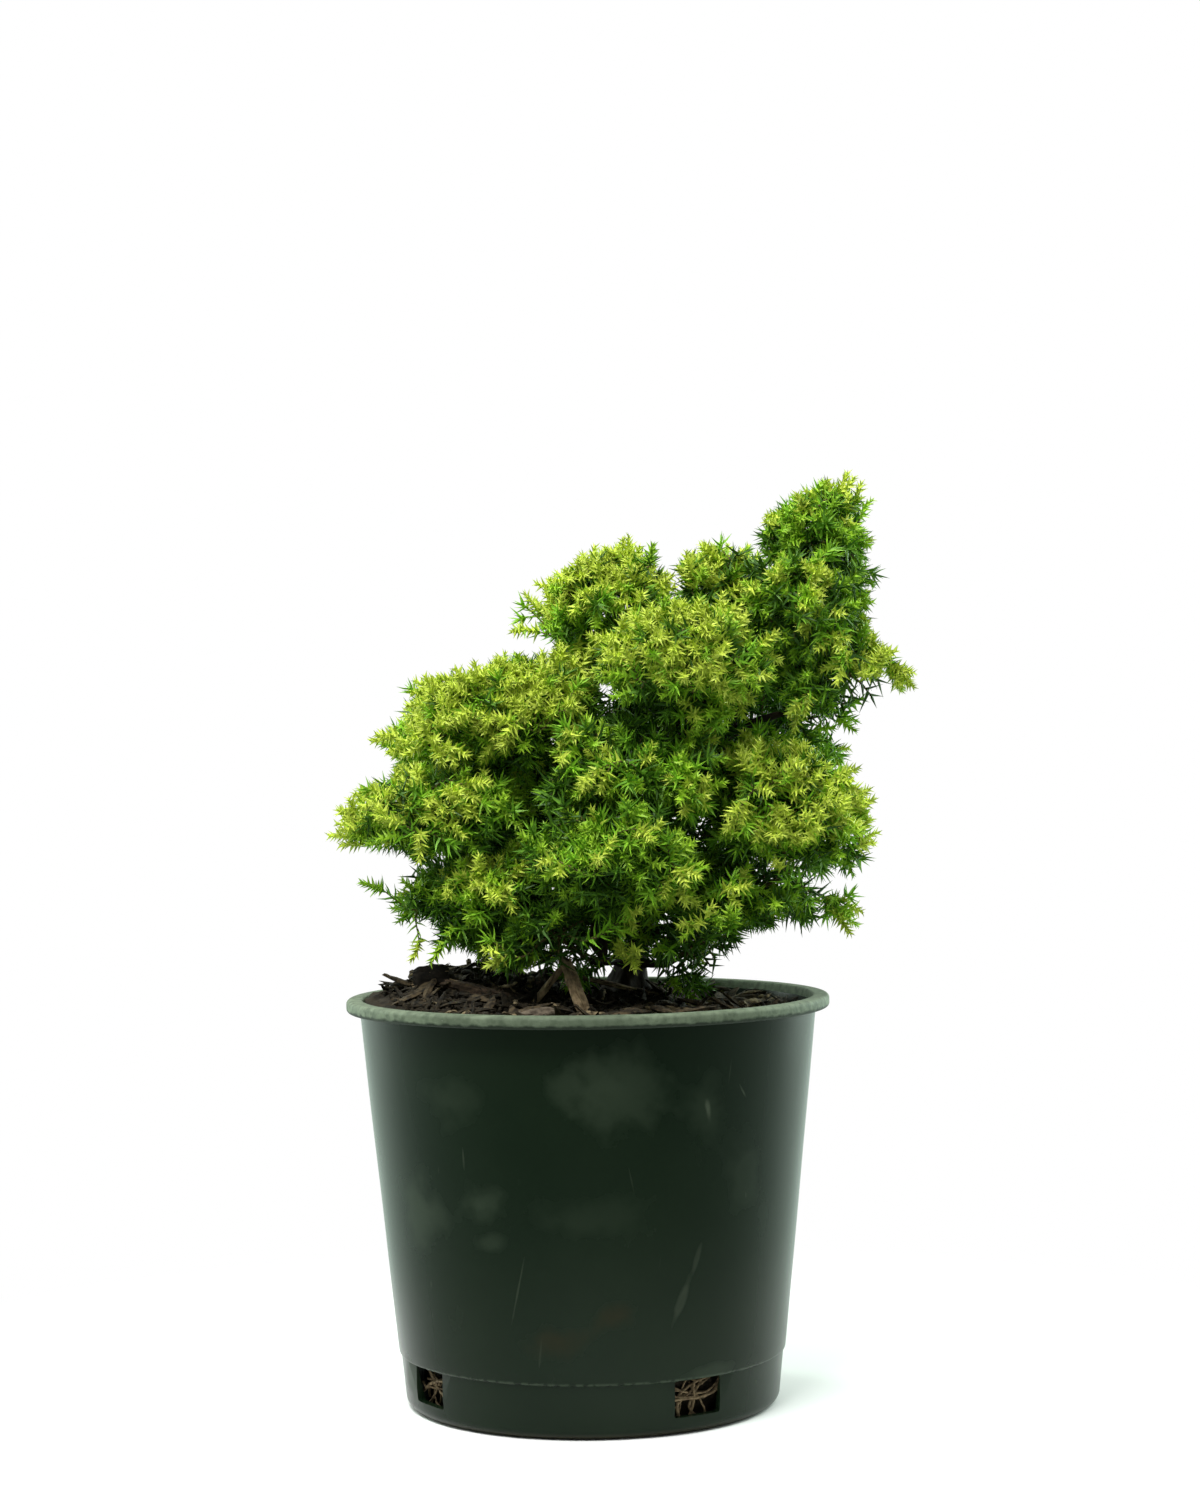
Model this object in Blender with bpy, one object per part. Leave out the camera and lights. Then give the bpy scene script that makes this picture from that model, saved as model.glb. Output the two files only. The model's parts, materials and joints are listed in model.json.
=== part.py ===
# Potted dwarf Japanese cedar: a young, leaning, spreading conifer in a round nursery pot.
# Metres, +Z up. The origin is the middle of the pot's flat underside, and the front is towards -Y.

import math
import random

import bmesh
import bpy
import numpy as np
from mathutils import Matrix, Vector, geometry, noise

MM = 0.001
SEED = 41
FIT_GAP = 0.3 * MM  # left between neighbouring solids
GOLDEN_ANGLE = math.pi * (3 - math.sqrt(5))

# The pot
POT_HEIGHT = 149 * MM
POT_SIDES = 40
RIM_RADIUS = 89 * MM
RIM_DEPTH = 4.6 * MM
RIM_ROUND = 1.5 * MM
BODY_TOP_RADIUS = 84 * MM
STEP_HEIGHT = 20 * MM  # the foot band starts below this line
STEP_RADIUS = 71.2 * MM
STEP_INSET = 0.7 * MM
FOOT_RADIUS = 68.8 * MM
FOOT_ROUND = 4.2 * MM
POT_WALL = 1.6 * MM
POT_FLOOR = 2.0 * MM
HOLE_COUNT = 4
FIRST_HOLE = math.radians(32)  # turned from the front towards +X
HOLE_WIDTH = 19 * MM
HOLE_BOTTOM = 6.3 * MM
HOLE_TOP = 19.4 * MM
HOLE_FLAT_DEPTH = 0.9 * MM  # the flat panel moulded round each drain hole

# The potting mix and the bark that lies on it
MIX_LEVEL = 143.5 * MM
HEAP_CENTRE = Vector((-42, 4)) * MM
HEAP_HEIGHT = 14 * MM
HEAP_SPREAD = 42 * MM
LUMP_HEIGHT = 1.6 * MM
LUMP_SIZE = 9 * MM
LUMP_POINTS = 84
SEAT_HEIGHT = 150.5 * MM  # the level patch that the trunk stands on
SEAT_RADIUS = 12 * MM

# Bark pieces: the place and the rise of a piece's middle off the mix, its heading from +X, its tilt up
# from level, and its length, width and thickness, in mm and degrees
BARK_PIECES = {
    "bark_chunk_left": dict(place=(-57, -14), rise=4, heading=4, tilt=6, size=(14, 9, 12)),
    "bark_strip_left": dict(place=(-39, -25), rise=1, heading=-18, tilt=-12, size=(30, 9, 5)),
    "bark_fork_short": dict(place=(-13.5, -27), rise=8, heading=0, tilt=52, size=(24, 5.5, 3)),
    "bark_fork_long": dict(place=(-4.5, -38), rise=8.5, heading=-51, tilt=-60, size=(24, 6, 3)),
    "bark_splinter_right": dict(place=(12, -13), rise=3.6, heading=27, tilt=-14, size=(44, 3.4, 2.4)),
    "bark_lump_right": dict(place=(34, 10), rise=2.5, heading=60, tilt=8, size=(11, 8, 9)),
    "bark_chip_front": dict(place=(-18, -52), rise=1.2, heading=12, tilt=4, size=(15, 12, 7)),
    "bark_chip_right": dict(place=(58, 12), rise=0, heading=35, tilt=3, size=(22, 9, 4)),
}

# The trunk
TRUNK_FOOT = Vector((14, 2, 150.8)) * MM
TRUNK_RISE = 148 * MM
TRUNK_LEAN = 68 * MM  # the tip stands this far to the right of the foot
TRUNK_LEAN_CURVE = 1.25
TRUNK_SWAY = 4 * MM
TRUNK_BACK_LEAN = 6 * MM
TRUNK_RADIUS = 5.2 * MM
TRUNK_TIP_RADIUS = 1.3 * MM
TRUNK_TAPER = 0.8  # below 1, it narrows more near the foot
TRUNK_SIDES = 10
TRUNK_RINGS = 13
RING_CROWDING = 1.4  # above 1, the rings are closer together near the foot
FLARE = 0.7  # how much wider the foot is than the trunk above it
FLARE_HEIGHT = 7 * MM
FLARE_LOBES = 4
LOBE_DEPTH = 0.35

# The boughs
BOUGH_SIDES = 5
BOUGH_STATIONS = 7
BOUGH_RADIUS = 2.1 * MM
BOUGH_TIP_RADIUS = 1.0 * MM
LAUNCH_RISE = math.radians(38)
ARRIVAL_RISE = math.radians(12)
BOUGH_BEND = 0.38  # share of its length that a bough's ends run straight
MASS_ENTRY = 0.84  # how far out in a mass its bough ends, as a share of the mass's reach
ENTRY_DROP = 0.25  # how far below the mass's middle a bough goes in, as a share of the way to it
THICKEST_BOUGH = 0.75  # a bough's girth at most, as a share of the trunk's where it springs

# The foliage
STEM_RADIUS = 0.9 * MM
FIRST_TWIG = 0.25  # share of the stem's length below its first twig
STEM_END = 0.3  # how far the stem runs on past the mass's middle, as a share of its reach
BEND_LENGTH = 0.3  # share of its way that a twig's ends run straight
HEART_LUMPS = 0.25
WIDE_HEART = 0.6  # a heart that fills more than this share of a mass has more faces, and so more needles
TWIG_RADIUS = 1.0 * MM
SPRAY_LENGTH = 13 * MM
SPRAY_RADIUS = 1.5 * MM
SPRAY_RINGS = 3  # between them, three needles stand out of each stretch of a spray
NEEDLE_LENGTH = 8.5 * MM
NEEDLE_SPREAD = math.radians(50)  # away from the shoot that carries it
SHORTEST_TWIG = 10 * MM
SOUND_GAP = 0.001 * MM  # corners closer than this count as one when a mass is tested
TRIES = 6

# Each mass of foliage: the share of the trunk's length where its bough springs, the middle and the reach of
# the space that the mass keeps to, in mm, the number of its sprays, and the size of its dense heart as a share
# of its reach. The leader grows on from the trunk's own tip.
MASSES = {
    "leader": dict(at=1.0, middle=(88, 7, 314), reach=(23, 24, 26), sprays=7, heart=0.70),
    "upper_right": dict(at=0.78, middle=(87, 24, 282), reach=(23, 25, 26), sprays=4, heart=0.68),
    "upper_front": dict(at=0.82, middle=(78, -18, 290), reach=(23, 20, 25), sprays=4, heart=0.68),
    "right_shoulder": dict(at=0.62, middle=(95, -8, 266), reach=(26, 23, 15), sprays=7, heart=0.66),
    "upper_middle": dict(at=0.72, middle=(51, 14, 293), reach=(24, 28, 25), sprays=5, heart=0.70),
    "upper_left": dict(at=0.55, middle=(13, 12, 291), reach=(34, 29, 25), sprays=7, heart=0.70),
    "front_crown": dict(at=0.50, middle=(37, -32, 271), reach=(37, 30, 22), sprays=6, heart=0.68),
    "left_middle": dict(at=0.37, middle=(-25, -6, 251), reach=(45, 33, 25), sprays=7, heart=0.70),
    "left_back": dict(at=0.30, middle=(-52, 27, 243), reach=(31, 29, 18), sprays=5, heart=0.66),
    "far_left": dict(at=0.19, middle=(-54, -17, 216), reach=(37, 33, 18), sprays=7, heart=0.68),
    "front_middle": dict(at=0.34, middle=(16, -28, 229), reach=(38, 30, 25), sprays=6, heart=0.68),
    "right_middle": dict(at=0.26, middle=(68, -18, 214), reach=(38, 33, 30), sprays=7, heart=0.70),
    "front_low": dict(at=0.16, middle=(10, -46, 200), reach=(36, 29, 23), sprays=7, heart=0.68),
    "lower_left": dict(at=0.08, middle=(-37, -14, 186), reach=(37, 33, 22), sprays=9, heart=0.58),
    "low_front": dict(at=0.05, middle=(-8, -34, 173), reach=(32, 28, 15), sprays=6, heart=0.5),
    "low_right": dict(at=0.04, middle=(38, -36, 171), reach=(20, 24, 14), sprays=6, heart=0.45),
    "lower_right": dict(at=0.12, middle=(61, -12, 189), reach=(37, 30, 17), sprays=9, heart=0.58),
    "back_left": dict(at=0.23, middle=(-30, 48, 218), reach=(42, 32, 30), sprays=5, heart=0.68),
    "back_right": dict(at=0.42, middle=(69, 46, 240), reach=(37, 33, 33), sprays=5, heart=0.68),
    "back_low": dict(at=0.13, middle=(22, 50, 188), reach=(43, 32, 22), sprays=6, heart=0.66),
    "back_crown": dict(at=0.46, middle=(24, 44, 266), reach=(37, 32, 26), sprays=5, heart=0.68),
}
BRIGHT_MASSES = (
    "leader", "upper_right", "upper_front", "upper_middle",
    "upper_left", "front_crown", "left_middle", "far_left",
)


# Shared tools


def clear_scene():
    for obj in list(bpy.data.objects):
        bpy.data.objects.remove(obj)


def finish_material(name, colour, roughness, metallic=0.0):
    material = bpy.data.materials.new(name)
    material.use_nodes = True
    shader = material.node_tree.nodes["Principled BSDF"]
    shader.inputs["Base Color"].default_value = (*colour, 1)
    shader.inputs["Roughness"].default_value = roughness
    shader.inputs["Metallic"].default_value = metallic
    material.diffuse_color = (*colour, 1)
    return material


def new_object(name, points, faces, material=None, collection=None):
    mesh = bpy.data.meshes.new(name)
    mesh.from_pydata([tuple(point) for point in points], [], faces)
    mesh.validate()
    obj = bpy.data.objects.new(name, mesh)
    (collection or bpy.context.scene.collection).objects.link(obj)
    if material:
        mesh.materials.append(material)
    return obj


def smooth(obj, sharp_degrees=35):
    obj.data.shade_smooth()
    obj.data.set_sharp_from_angle(angle=math.radians(sharp_degrees))


def apply_modifiers(obj):
    graph = bpy.context.evaluated_depsgraph_get()
    mesh = bpy.data.meshes.new_from_object(obj.evaluated_get(graph))
    obj.modifiers.clear()
    obj.data = mesh


def cut(obj, *cutters):
    for cutter in cutters:
        modifier = obj.modifiers.new("Cut", "BOOLEAN")
        modifier.operation = "DIFFERENCE"
        modifier.object = cutter
    apply_modifiers(obj)
    for cutter in cutters:
        bpy.data.objects.remove(cutter)


def islands(mesh):
    """The mesh's separate shells, each a list of faces."""
    unseen = set(mesh.faces)
    while unseen:
        shell, edge_of_search = [], [unseen.pop()]
        while edge_of_search:
            face = edge_of_search.pop()
            shell.append(face)
            beside = {other for edge in face.edges for other in edge.link_faces} & unseen
            unseen -= beside
            edge_of_search.extend(beside)
        yield shell


def shell_volume(faces):
    volume = 0
    for face in faces:
        first, *rest = [loop.vert.co for loop in face.loops]
        for second, third in zip(rest, rest[1:]):
            volume += first.dot(second.cross(third)) / 6
    return volume


def keep_main_shell(obj):
    """Drops loose scraps, and fills a sealed hollow by dropping its inner shell."""
    mesh = bmesh.new()
    mesh.from_mesh(obj.data)
    bmesh.ops.triangulate(mesh, faces=mesh.faces)
    shells = sorted(islands(mesh), key=shell_volume)
    spare = [face for shell in shells[:-1] for face in shell]
    bmesh.ops.delete(mesh, geom=spare, context="FACES")
    mesh.to_mesh(obj.data)
    mesh.free()


def tube(points, radii, sides, first_axis=None, level=False):
    """(points, faces) of a closed limb through these points. A last radius of 0 ends it in a point.
    Level rings stay horizontal, and others stand square to the limb."""
    corners, faces = [], []
    across = first_axis
    for i, (point, radius) in enumerate(zip(points, radii)):
        ahead = (points[min(i + 1, len(points) - 1)] - points[max(i - 1, 0)]).normalized()
        if level:
            ahead, across = Vector((0, 0, 1)), Vector((1, 0, 0))
        if across is None:
            across = ahead.orthogonal()
        across = (across - ahead * across.dot(ahead)).normalized()
        beside = ahead.cross(across)
        if radius == 0:
            corners.append(point)
            break
        for k in range(sides):
            turn = 2 * math.pi * k / sides
            reach = radius(turn) if callable(radius) else radius
            corners.append(point + (across * math.cos(turn) + beside * math.sin(turn)) * reach)
    pointed = radii[-1] == 0
    rings = len(radii) - 1 if pointed else len(radii)
    for ring in range(rings - 1):
        for k in range(sides):
            low, low_next = ring * sides + k, ring * sides + (k + 1) % sides
            faces.append((low, low_next, low_next + sides, low + sides))
    last = (rings - 1) * sides
    if pointed:
        faces += [(last + k, last + (k + 1) % sides, len(corners) - 1) for k in range(sides)]
    else:
        faces.append(tuple(last + k for k in range(sides)))
    faces.append(tuple(reversed(range(sides))))
    return corners, faces


def bezier(start, leave, arrive, end, count):
    """Points along a smooth curve from start to end, by way of two handles."""
    return [
        start * (1 - t) ** 3 + leave * (3 * t * (1 - t) ** 2) + arrive * (3 * t * t * (1 - t)) + end * t**3
        for t in (i / (count - 1) for i in range(count))
    ]


def even_directions(count, turn):
    """Directions spread evenly over a sphere, starting from the top."""
    for i in range(count):
        height = 1 - (i + 0.5) * 2 / count
        around = turn + i * GOLDEN_ANGLE
        flat = math.sqrt(1 - height * height)
        yield Vector((flat * math.cos(around), flat * math.sin(around), height))


# The pot


def arc(centre, radius, start, end, count):
    """Points (distance from the axis, height) round part of a circle, in degrees."""
    angles = [math.radians(start + (end - start) * i / (count - 1)) for i in range(count)]
    return [(centre[0] + radius * math.cos(a), centre[1] + radius * math.sin(a)) for a in angles]


def body_radius(height):
    """The outside of the pot's sloping side above the step."""
    share = (height - STEP_HEIGHT) / (POT_HEIGHT - RIM_DEPTH - STEP_HEIGHT)
    return STEP_RADIUS + (BODY_TOP_RADIUS - STEP_RADIUS) * share


def foot_radius(height):
    """The outside of the foot band below the step."""
    top = STEP_RADIUS - STEP_INSET
    return FOOT_RADIUS + (top - FOOT_RADIUS) * (height - FOOT_ROUND) / (STEP_HEIGHT - FOOT_ROUND)


def inside_radius(height):
    outside = body_radius(height) if height > STEP_HEIGHT else foot_radius(height)
    return outside - POT_WALL


def pot_profile():
    """The pot's wall in section, from the middle of the underside, up the outside and down the inside."""
    lip = POT_HEIGHT - RIM_DEPTH
    outer_round = RIM_RADIUS - RIM_ROUND
    outside = [(0, 0)]
    outside += arc((FOOT_RADIUS - FOOT_ROUND, FOOT_ROUND), FOOT_ROUND, -90, 0, 3)
    outside += [(foot_radius(STEP_HEIGHT), STEP_HEIGHT - STEP_INSET / 2), (STEP_RADIUS, STEP_HEIGHT)]
    outside += [(body_radius(lip), lip)]
    rim = arc((outer_round, lip + RIM_ROUND), RIM_ROUND, -90, 0, 2)
    rim += arc((outer_round, POT_HEIGHT - RIM_ROUND), RIM_ROUND, 0, 90, 3)
    rim_inside = inside_radius(POT_HEIGHT)
    rim += [(rim_inside + RIM_ROUND / 2, POT_HEIGHT), (rim_inside, POT_HEIGHT - RIM_ROUND / 2)]
    step = STEP_HEIGHT + POT_WALL
    inside = [(inside_radius(step), step), (inside_radius(POT_FLOOR) - POT_FLOOR, POT_FLOOR), (0, POT_FLOOR)]
    return outside + rim + inside


def turned(profile):
    """(points, faces) of a profile turned round Z, its two ends on the axis."""
    points = [Vector((0, 0, profile[0][1])), Vector((0, 0, profile[-1][1]))]
    rings = profile[1:-1]
    for radius, height in rings:
        for k in range(POT_SIDES):
            turn = 2 * math.pi * k / POT_SIDES
            points.append(Vector((radius * math.cos(turn), radius * math.sin(turn), height)))
    faces = []
    for k in range(POT_SIDES):
        k_next = (k + 1) % POT_SIDES
        for ring in range(len(rings) - 1):
            low = 2 + ring * POT_SIDES
            faces.append((low + k, low + k_next, low + k_next + POT_SIDES, low + k + POT_SIDES))
    first, last = 2, 2 + (len(rings) - 1) * POT_SIDES
    faces += [(0, first + (k + 1) % POT_SIDES, first + k) for k in range(POT_SIDES)]
    faces += [(1, last + k, last + (k + 1) % POT_SIDES) for k in range(POT_SIDES)]
    return points, faces


def block(name, size, place, turn):
    """A box, centred on its place and turned round Z."""
    mesh = bmesh.new()
    bmesh.ops.create_cube(mesh, size=1)
    matrix = Matrix.Translation(place) @ Matrix.Rotation(turn, 4, "Z") @ Matrix.Diagonal((*size, 1))
    bmesh.ops.transform(mesh, matrix=matrix, verts=mesh.verts)
    data = bpy.data.meshes.new(name)
    mesh.to_mesh(data)
    mesh.free()
    obj = bpy.data.objects.new(name, data)
    bpy.context.scene.collection.objects.link(obj)
    return obj


def drain_hole_cutters():
    """For each drain hole, the flat panel round it and the hole through the wall."""
    hole_height = HOLE_TOP - HOLE_BOTTOM
    middle = (HOLE_TOP + HOLE_BOTTOM) / 2
    band = foot_radius(middle)
    panel_height = STEP_HEIGHT - FOOT_ROUND
    for i in range(HOLE_COUNT):
        turn = FIRST_HOLE + i * 2 * math.pi / HOLE_COUNT
        out = Vector((math.sin(turn), -math.cos(turn), 0))
        panel_thickness = 4 * HOLE_FLAT_DEPTH
        panel_out = band - HOLE_FLAT_DEPTH + panel_thickness / 2
        panel_middle = Vector((0, 0, FOOT_ROUND + panel_height / 2 - STEP_INSET))
        panel_size = (2 * HOLE_WIDTH, panel_thickness, panel_height - STEP_INSET)
        yield block("panel_cutter", panel_size, out * panel_out + panel_middle, turn)
        hole_size = (HOLE_WIDTH, 8 * POT_WALL, hole_height)
        yield block("hole_cutter", hole_size, out * band + Vector((0, 0, middle)), turn)


def build_pot(material):
    pot = new_object("pot", *turned(pot_profile()), material)
    cut(pot, *drain_hole_cutters())
    smooth(pot)
    return pot


# The potting mix and the bark pieces


def mix_height(x, y):
    """The top of the mix: heaped to the left, lumpy, and level under the trunk."""
    place = Vector((x, y))
    heap = HEAP_HEIGHT * math.exp(-((place - HEAP_CENTRE).length / HEAP_SPREAD) ** 2)
    lumps = LUMP_HEIGHT * noise.noise(Vector((x, y, 0)) / LUMP_SIZE)
    from_trunk = (place - TRUNK_FOOT.xy).length / SEAT_RADIUS
    away = min(max(from_trunk - 1, 0), 1)
    return SEAT_HEIGHT * (1 - away) + (MIX_LEVEL + heap + lumps) * away


def mix_top_points(rng):
    """Flat positions (x, y) of the top's corners: its edge first, then the trunk's seat, then the lumps."""
    edge = []
    for k in range(POT_SIDES):
        turn = 2 * math.pi * k / POT_SIDES
        radius = inside_radius(MIX_LEVEL) - FIT_GAP
        height = mix_height(radius * math.cos(turn), radius * math.sin(turn))
        radius = inside_radius(height) - FIT_GAP
        edge.append(Vector((radius * math.cos(turn), radius * math.sin(turn))))
    seat = [TRUNK_FOOT.xy]
    for k in range(TRUNK_SIDES):
        turn = 2 * math.pi * k / TRUNK_SIDES
        seat.append(TRUNK_FOOT.xy + Vector((math.cos(turn), math.sin(turn))) * SEAT_RADIUS)
    lumps = []
    for i in range(LUMP_POINTS):
        radius = (inside_radius(MIX_LEVEL) - LUMP_SIZE / 2) * math.sqrt((i + 0.5) / LUMP_POINTS)
        place = Vector((math.cos(i * GOLDEN_ANGLE), math.sin(i * GOLDEN_ANGLE))) * radius
        place += Vector((rng.uniform(-1, 1), rng.uniform(-1, 1))) * LUMP_SIZE / 6
        if (place - TRUNK_FOOT.xy).length > SEAT_RADIUS * 1.4:
            lumps.append(place)
    return edge, seat, lumps


def build_potting_mix(material, rng):
    """A plug of mix that fills the pot, with a socket for each bark piece."""
    edge, seat, lumps = mix_top_points(rng)
    flat, _, top_faces, *_ = geometry.delaunay_2d_cdt(edge + seat + lumps, [], [], 0, MM / 1000)
    points = [Vector((*place, mix_height(*place))) for place in flat]
    faces = [tuple(face) for face in top_faces]
    above = list(range(POT_SIDES))
    for height in (STEP_HEIGHT + POT_WALL, POT_FLOOR + FIT_GAP):
        radius = inside_radius(height) - FIT_GAP - (POT_FLOOR if height < STEP_HEIGHT else 0)
        below = []
        for k in range(POT_SIDES):
            turn = 2 * math.pi * k / POT_SIDES
            below.append(len(points))
            points.append(Vector((radius * math.cos(turn), radius * math.sin(turn), height)))
        for k in range(POT_SIDES):
            k_next = (k + 1) % POT_SIDES
            faces.append((below[k], below[k_next], above[k_next], above[k]))
        above = below
    faces.append(tuple(reversed(above)))
    mix = new_object("potting_mix", points, faces, material)
    cut(mix, *[bark_piece(name + "_socket", spec, FIT_GAP) for name, spec in BARK_PIECES.items()])
    keep_main_shell(mix)
    return mix


def bark_matrix(spec):
    x, y = (side * MM for side in spec["place"])
    heading, tilt = math.radians(spec["heading"]), math.radians(spec["tilt"])
    middle = Matrix.Translation((x, y, mix_height(x, y) + spec["rise"] * MM))
    return middle @ Matrix.Rotation(heading, 4, "Z") @ Matrix.Rotation(-tilt, 4, "Y")


def bark_piece(name, spec, grow=0.0):
    """A split, tapering length of bark that sits in the mix. Grown all round, it is the socket for itself."""
    rng = random.Random(name.removesuffix("_socket"))
    length, width, thickness = (side * MM for side in spec["size"])
    matrix = bark_matrix(spec)
    stations, corners = 4, []
    for i in range(stations):
        along = i / (stations - 1)
        wide = (0.5 + 0.9 * along * (1 - along)) * rng.uniform(0.85, 1.1)
        drift = rng.uniform(-0.12, 0.12) * width
        end = grow if i == stations - 1 else -grow if i == 0 else 0
        for side, lift in ((-0.5, -0.3), (-0.3, 0.5), (0.34, 0.5), (0.5, -0.2), (0, -0.5)):
            flat = Vector((0, side * width, lift * thickness))
            corner = Vector((length * (along - 0.5) + end, drift, 0)) + flat * wide
            corners.append(matrix @ (corner + flat.normalized() * grow * 1.4))
    faces = []
    for i in range(stations - 1):
        for k in range(5):
            low, low_next = i * 5 + k, i * 5 + (k + 1) % 5
            faces.append((low, low + 5, low_next + 5, low_next))
    faces += [(0, 1, 2, 3, 4), tuple(reversed(range(15, 20)))]
    return new_object(name, corners, faces)


# The trunk and the boughs


def trunk_point(share):
    lean = TRUNK_LEAN * share**TRUNK_LEAN_CURVE
    sway = TRUNK_SWAY * math.sin(2 * math.pi * share)
    return TRUNK_FOOT + Vector((lean, sway + TRUNK_BACK_LEAN * share, TRUNK_RISE * share))


def trunk_radius(share, grow=0.0):
    """The trunk's radius as a function of the turn round it: lobed at the root flare, then round."""
    plain = TRUNK_RADIUS + (TRUNK_TIP_RADIUS - TRUNK_RADIUS) * share**TRUNK_TAPER
    flare = FLARE * math.exp(-share * TRUNK_RISE / FLARE_HEIGHT)

    def radius(turn):
        lobes = 1 + LOBE_DEPTH * math.cos(FLARE_LOBES * turn + 0.6)
        return plain * (1 + flare * lobes) + grow

    return radius


def trunk_shares():
    """Stations up the trunk, closer together at the flare."""
    return [(i / (TRUNK_RINGS - 1)) ** RING_CROWDING for i in range(TRUNK_RINGS)]


def trunk_shell(grow=0.0):
    shares = trunk_shares()
    points = [trunk_point(share) for share in shares]
    return tube(points, [trunk_radius(share, grow) for share in shares], TRUNK_SIDES, level=True)


class Limb:
    """The middle line and the girth of the trunk or a bough, for what grows from it or has to miss it."""

    def __init__(self, points, radii):
        self.points, self.radii = points, radii
        steps = [0.0]
        for a, b in zip(points, points[1:]):
            steps.append(steps[-1] + (b - a).length)
        self.shares = [step / steps[-1] for step in steps]

    def point(self, share):
        return Vector([np.interp(share, self.shares, [p[axis] for p in self.points]) for axis in range(3)])

    def radius(self, share):
        return float(np.interp(share, self.shares, self.radii))

    def direction(self, share):
        return (self.point(min(share + 0.02, 1)) - self.point(max(share - 0.02, 0))).normalized()

    def samples(self, spacing=MM):
        """(points, radii) close together along the limb, as arrays."""
        length = sum((b - a).length for a, b in zip(self.points, self.points[1:]))
        shares = np.linspace(0, 1, max(int(length / spacing), 2))
        points = np.array([self.point(share) for share in shares])
        return points, np.interp(shares, self.shares, self.radii)


def trunk_limb():
    shares = trunk_shares()
    return Limb([trunk_point(s) for s in shares], [trunk_radius(s)(0) for s in shares])


def bark_limb(spec):
    """The middle line and the girth of a bark piece, which the foliage has to miss as well."""
    length, *girths = (side * MM for side in spec["size"])
    ends = [bark_matrix(spec) @ Vector((side * length / 2, 0, 0)) for side in (-1, 1)]
    return Limb(ends, [max(girths) / 2] * 2)


def bough_limb(trunk, spec):
    """A bough that springs up and out of the trunk and levels off as it enters its mass."""
    start = trunk.point(spec["at"])
    middle, reach = Vector(spec["middle"]) * MM, Vector(spec["reach"]) * MM
    back = start - middle
    back.z -= back.length * ENTRY_DROP
    out_share = Vector([back[axis] / reach[axis] for axis in range(3)]).length
    end = middle + back * (MASS_ENTRY / out_share)
    level = Vector((end.x - start.x, end.y - start.y, 0)).normalized()
    span = (end - start).length
    leave = level * math.cos(LAUNCH_RISE) + Vector((0, 0, math.sin(LAUNCH_RISE)))
    arrive = level * math.cos(ARRIVAL_RISE) + Vector((0, 0, math.sin(ARRIVAL_RISE)))
    inward = (middle - end).normalized()
    arrive = (arrive + inward).normalized()
    straight = span * BOUGH_BEND
    points = bezier(start, start + leave * straight, end - arrive * straight, end, BOUGH_STATIONS)
    thickest = min(BOUGH_RADIUS, trunk.radius(spec["at"]) * THICKEST_BOUGH)
    return Limb(points, list(np.linspace(thickest, BOUGH_TIP_RADIUS, BOUGH_STATIONS)))


def build_bough(name, limb, trunk_cutter, material):
    bough = new_object(name, *tube(limb.points, limb.radii, BOUGH_SIDES), material)
    cut(bough, trunk_cutter)
    keep_main_shell(bough)
    smooth(bough, 50)
    return bough


# The foliage


class Room:
    """The space that each mass keeps to, and the limbs and bark pieces that nothing in it may touch."""

    def __init__(self, limbs):
        self.middles = np.array([spec["middle"] for spec in MASSES.values()]) * MM
        self.reaches = np.array([spec["reach"] for spec in MASSES.values()]) * MM
        samples = [limb.samples() for limb in limbs]
        self.limb_points = np.concatenate([points for points, _ in samples])
        self.limb_radii = np.concatenate([radii for _, radii in samples])

    def clears(self, points, radius):
        """Whether a piece this thick, along these points, is clear of every limb."""
        apart = np.linalg.norm(self.limb_points - np.array(points)[:, None], axis=2) - self.limb_radii
        return apart.min() > radius + 2 * FIT_GAP

    def holds(self, index, point, radius):
        """Whether a piece this thick at this point is inside the mass's own space and clear of every limb."""
        point = np.array(point)
        depths = np.linalg.norm((point - self.middles) / self.reaches, axis=1)
        if depths[index] > 1:
            return False
        others = np.delete(depths, index)
        if (others.min() - depths[index]) * self.reaches[index].min() < FIT_GAP + 2 * radius:
            return False
        return self.clears([point], radius)

    def farthest(self, index, direction, radius, limit=1.0):
        """How far out of the mass's middle a piece can reach along a direction."""
        middle, reach = Vector(self.middles[index]), Vector(self.reaches[index])
        edge = 1 / Vector([direction[axis] / reach[axis] for axis in range(3)]).length
        steps, far = 24, 0.0
        for i in range(1, steps + 1):
            distance = edge * limit * i / steps
            if not self.holds(index, middle + direction * distance * 0.999, radius):
                break
            far = distance
        return far


def face_samples(corners):
    """Points spread over a triangle, its corners among them."""
    a, b, c = corners
    steps = 5
    return [a + (b - a) * (i / steps) + (c - a) * (k / steps)
            for i in range(steps + 1) for k in range(steps + 1 - i)]


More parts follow.
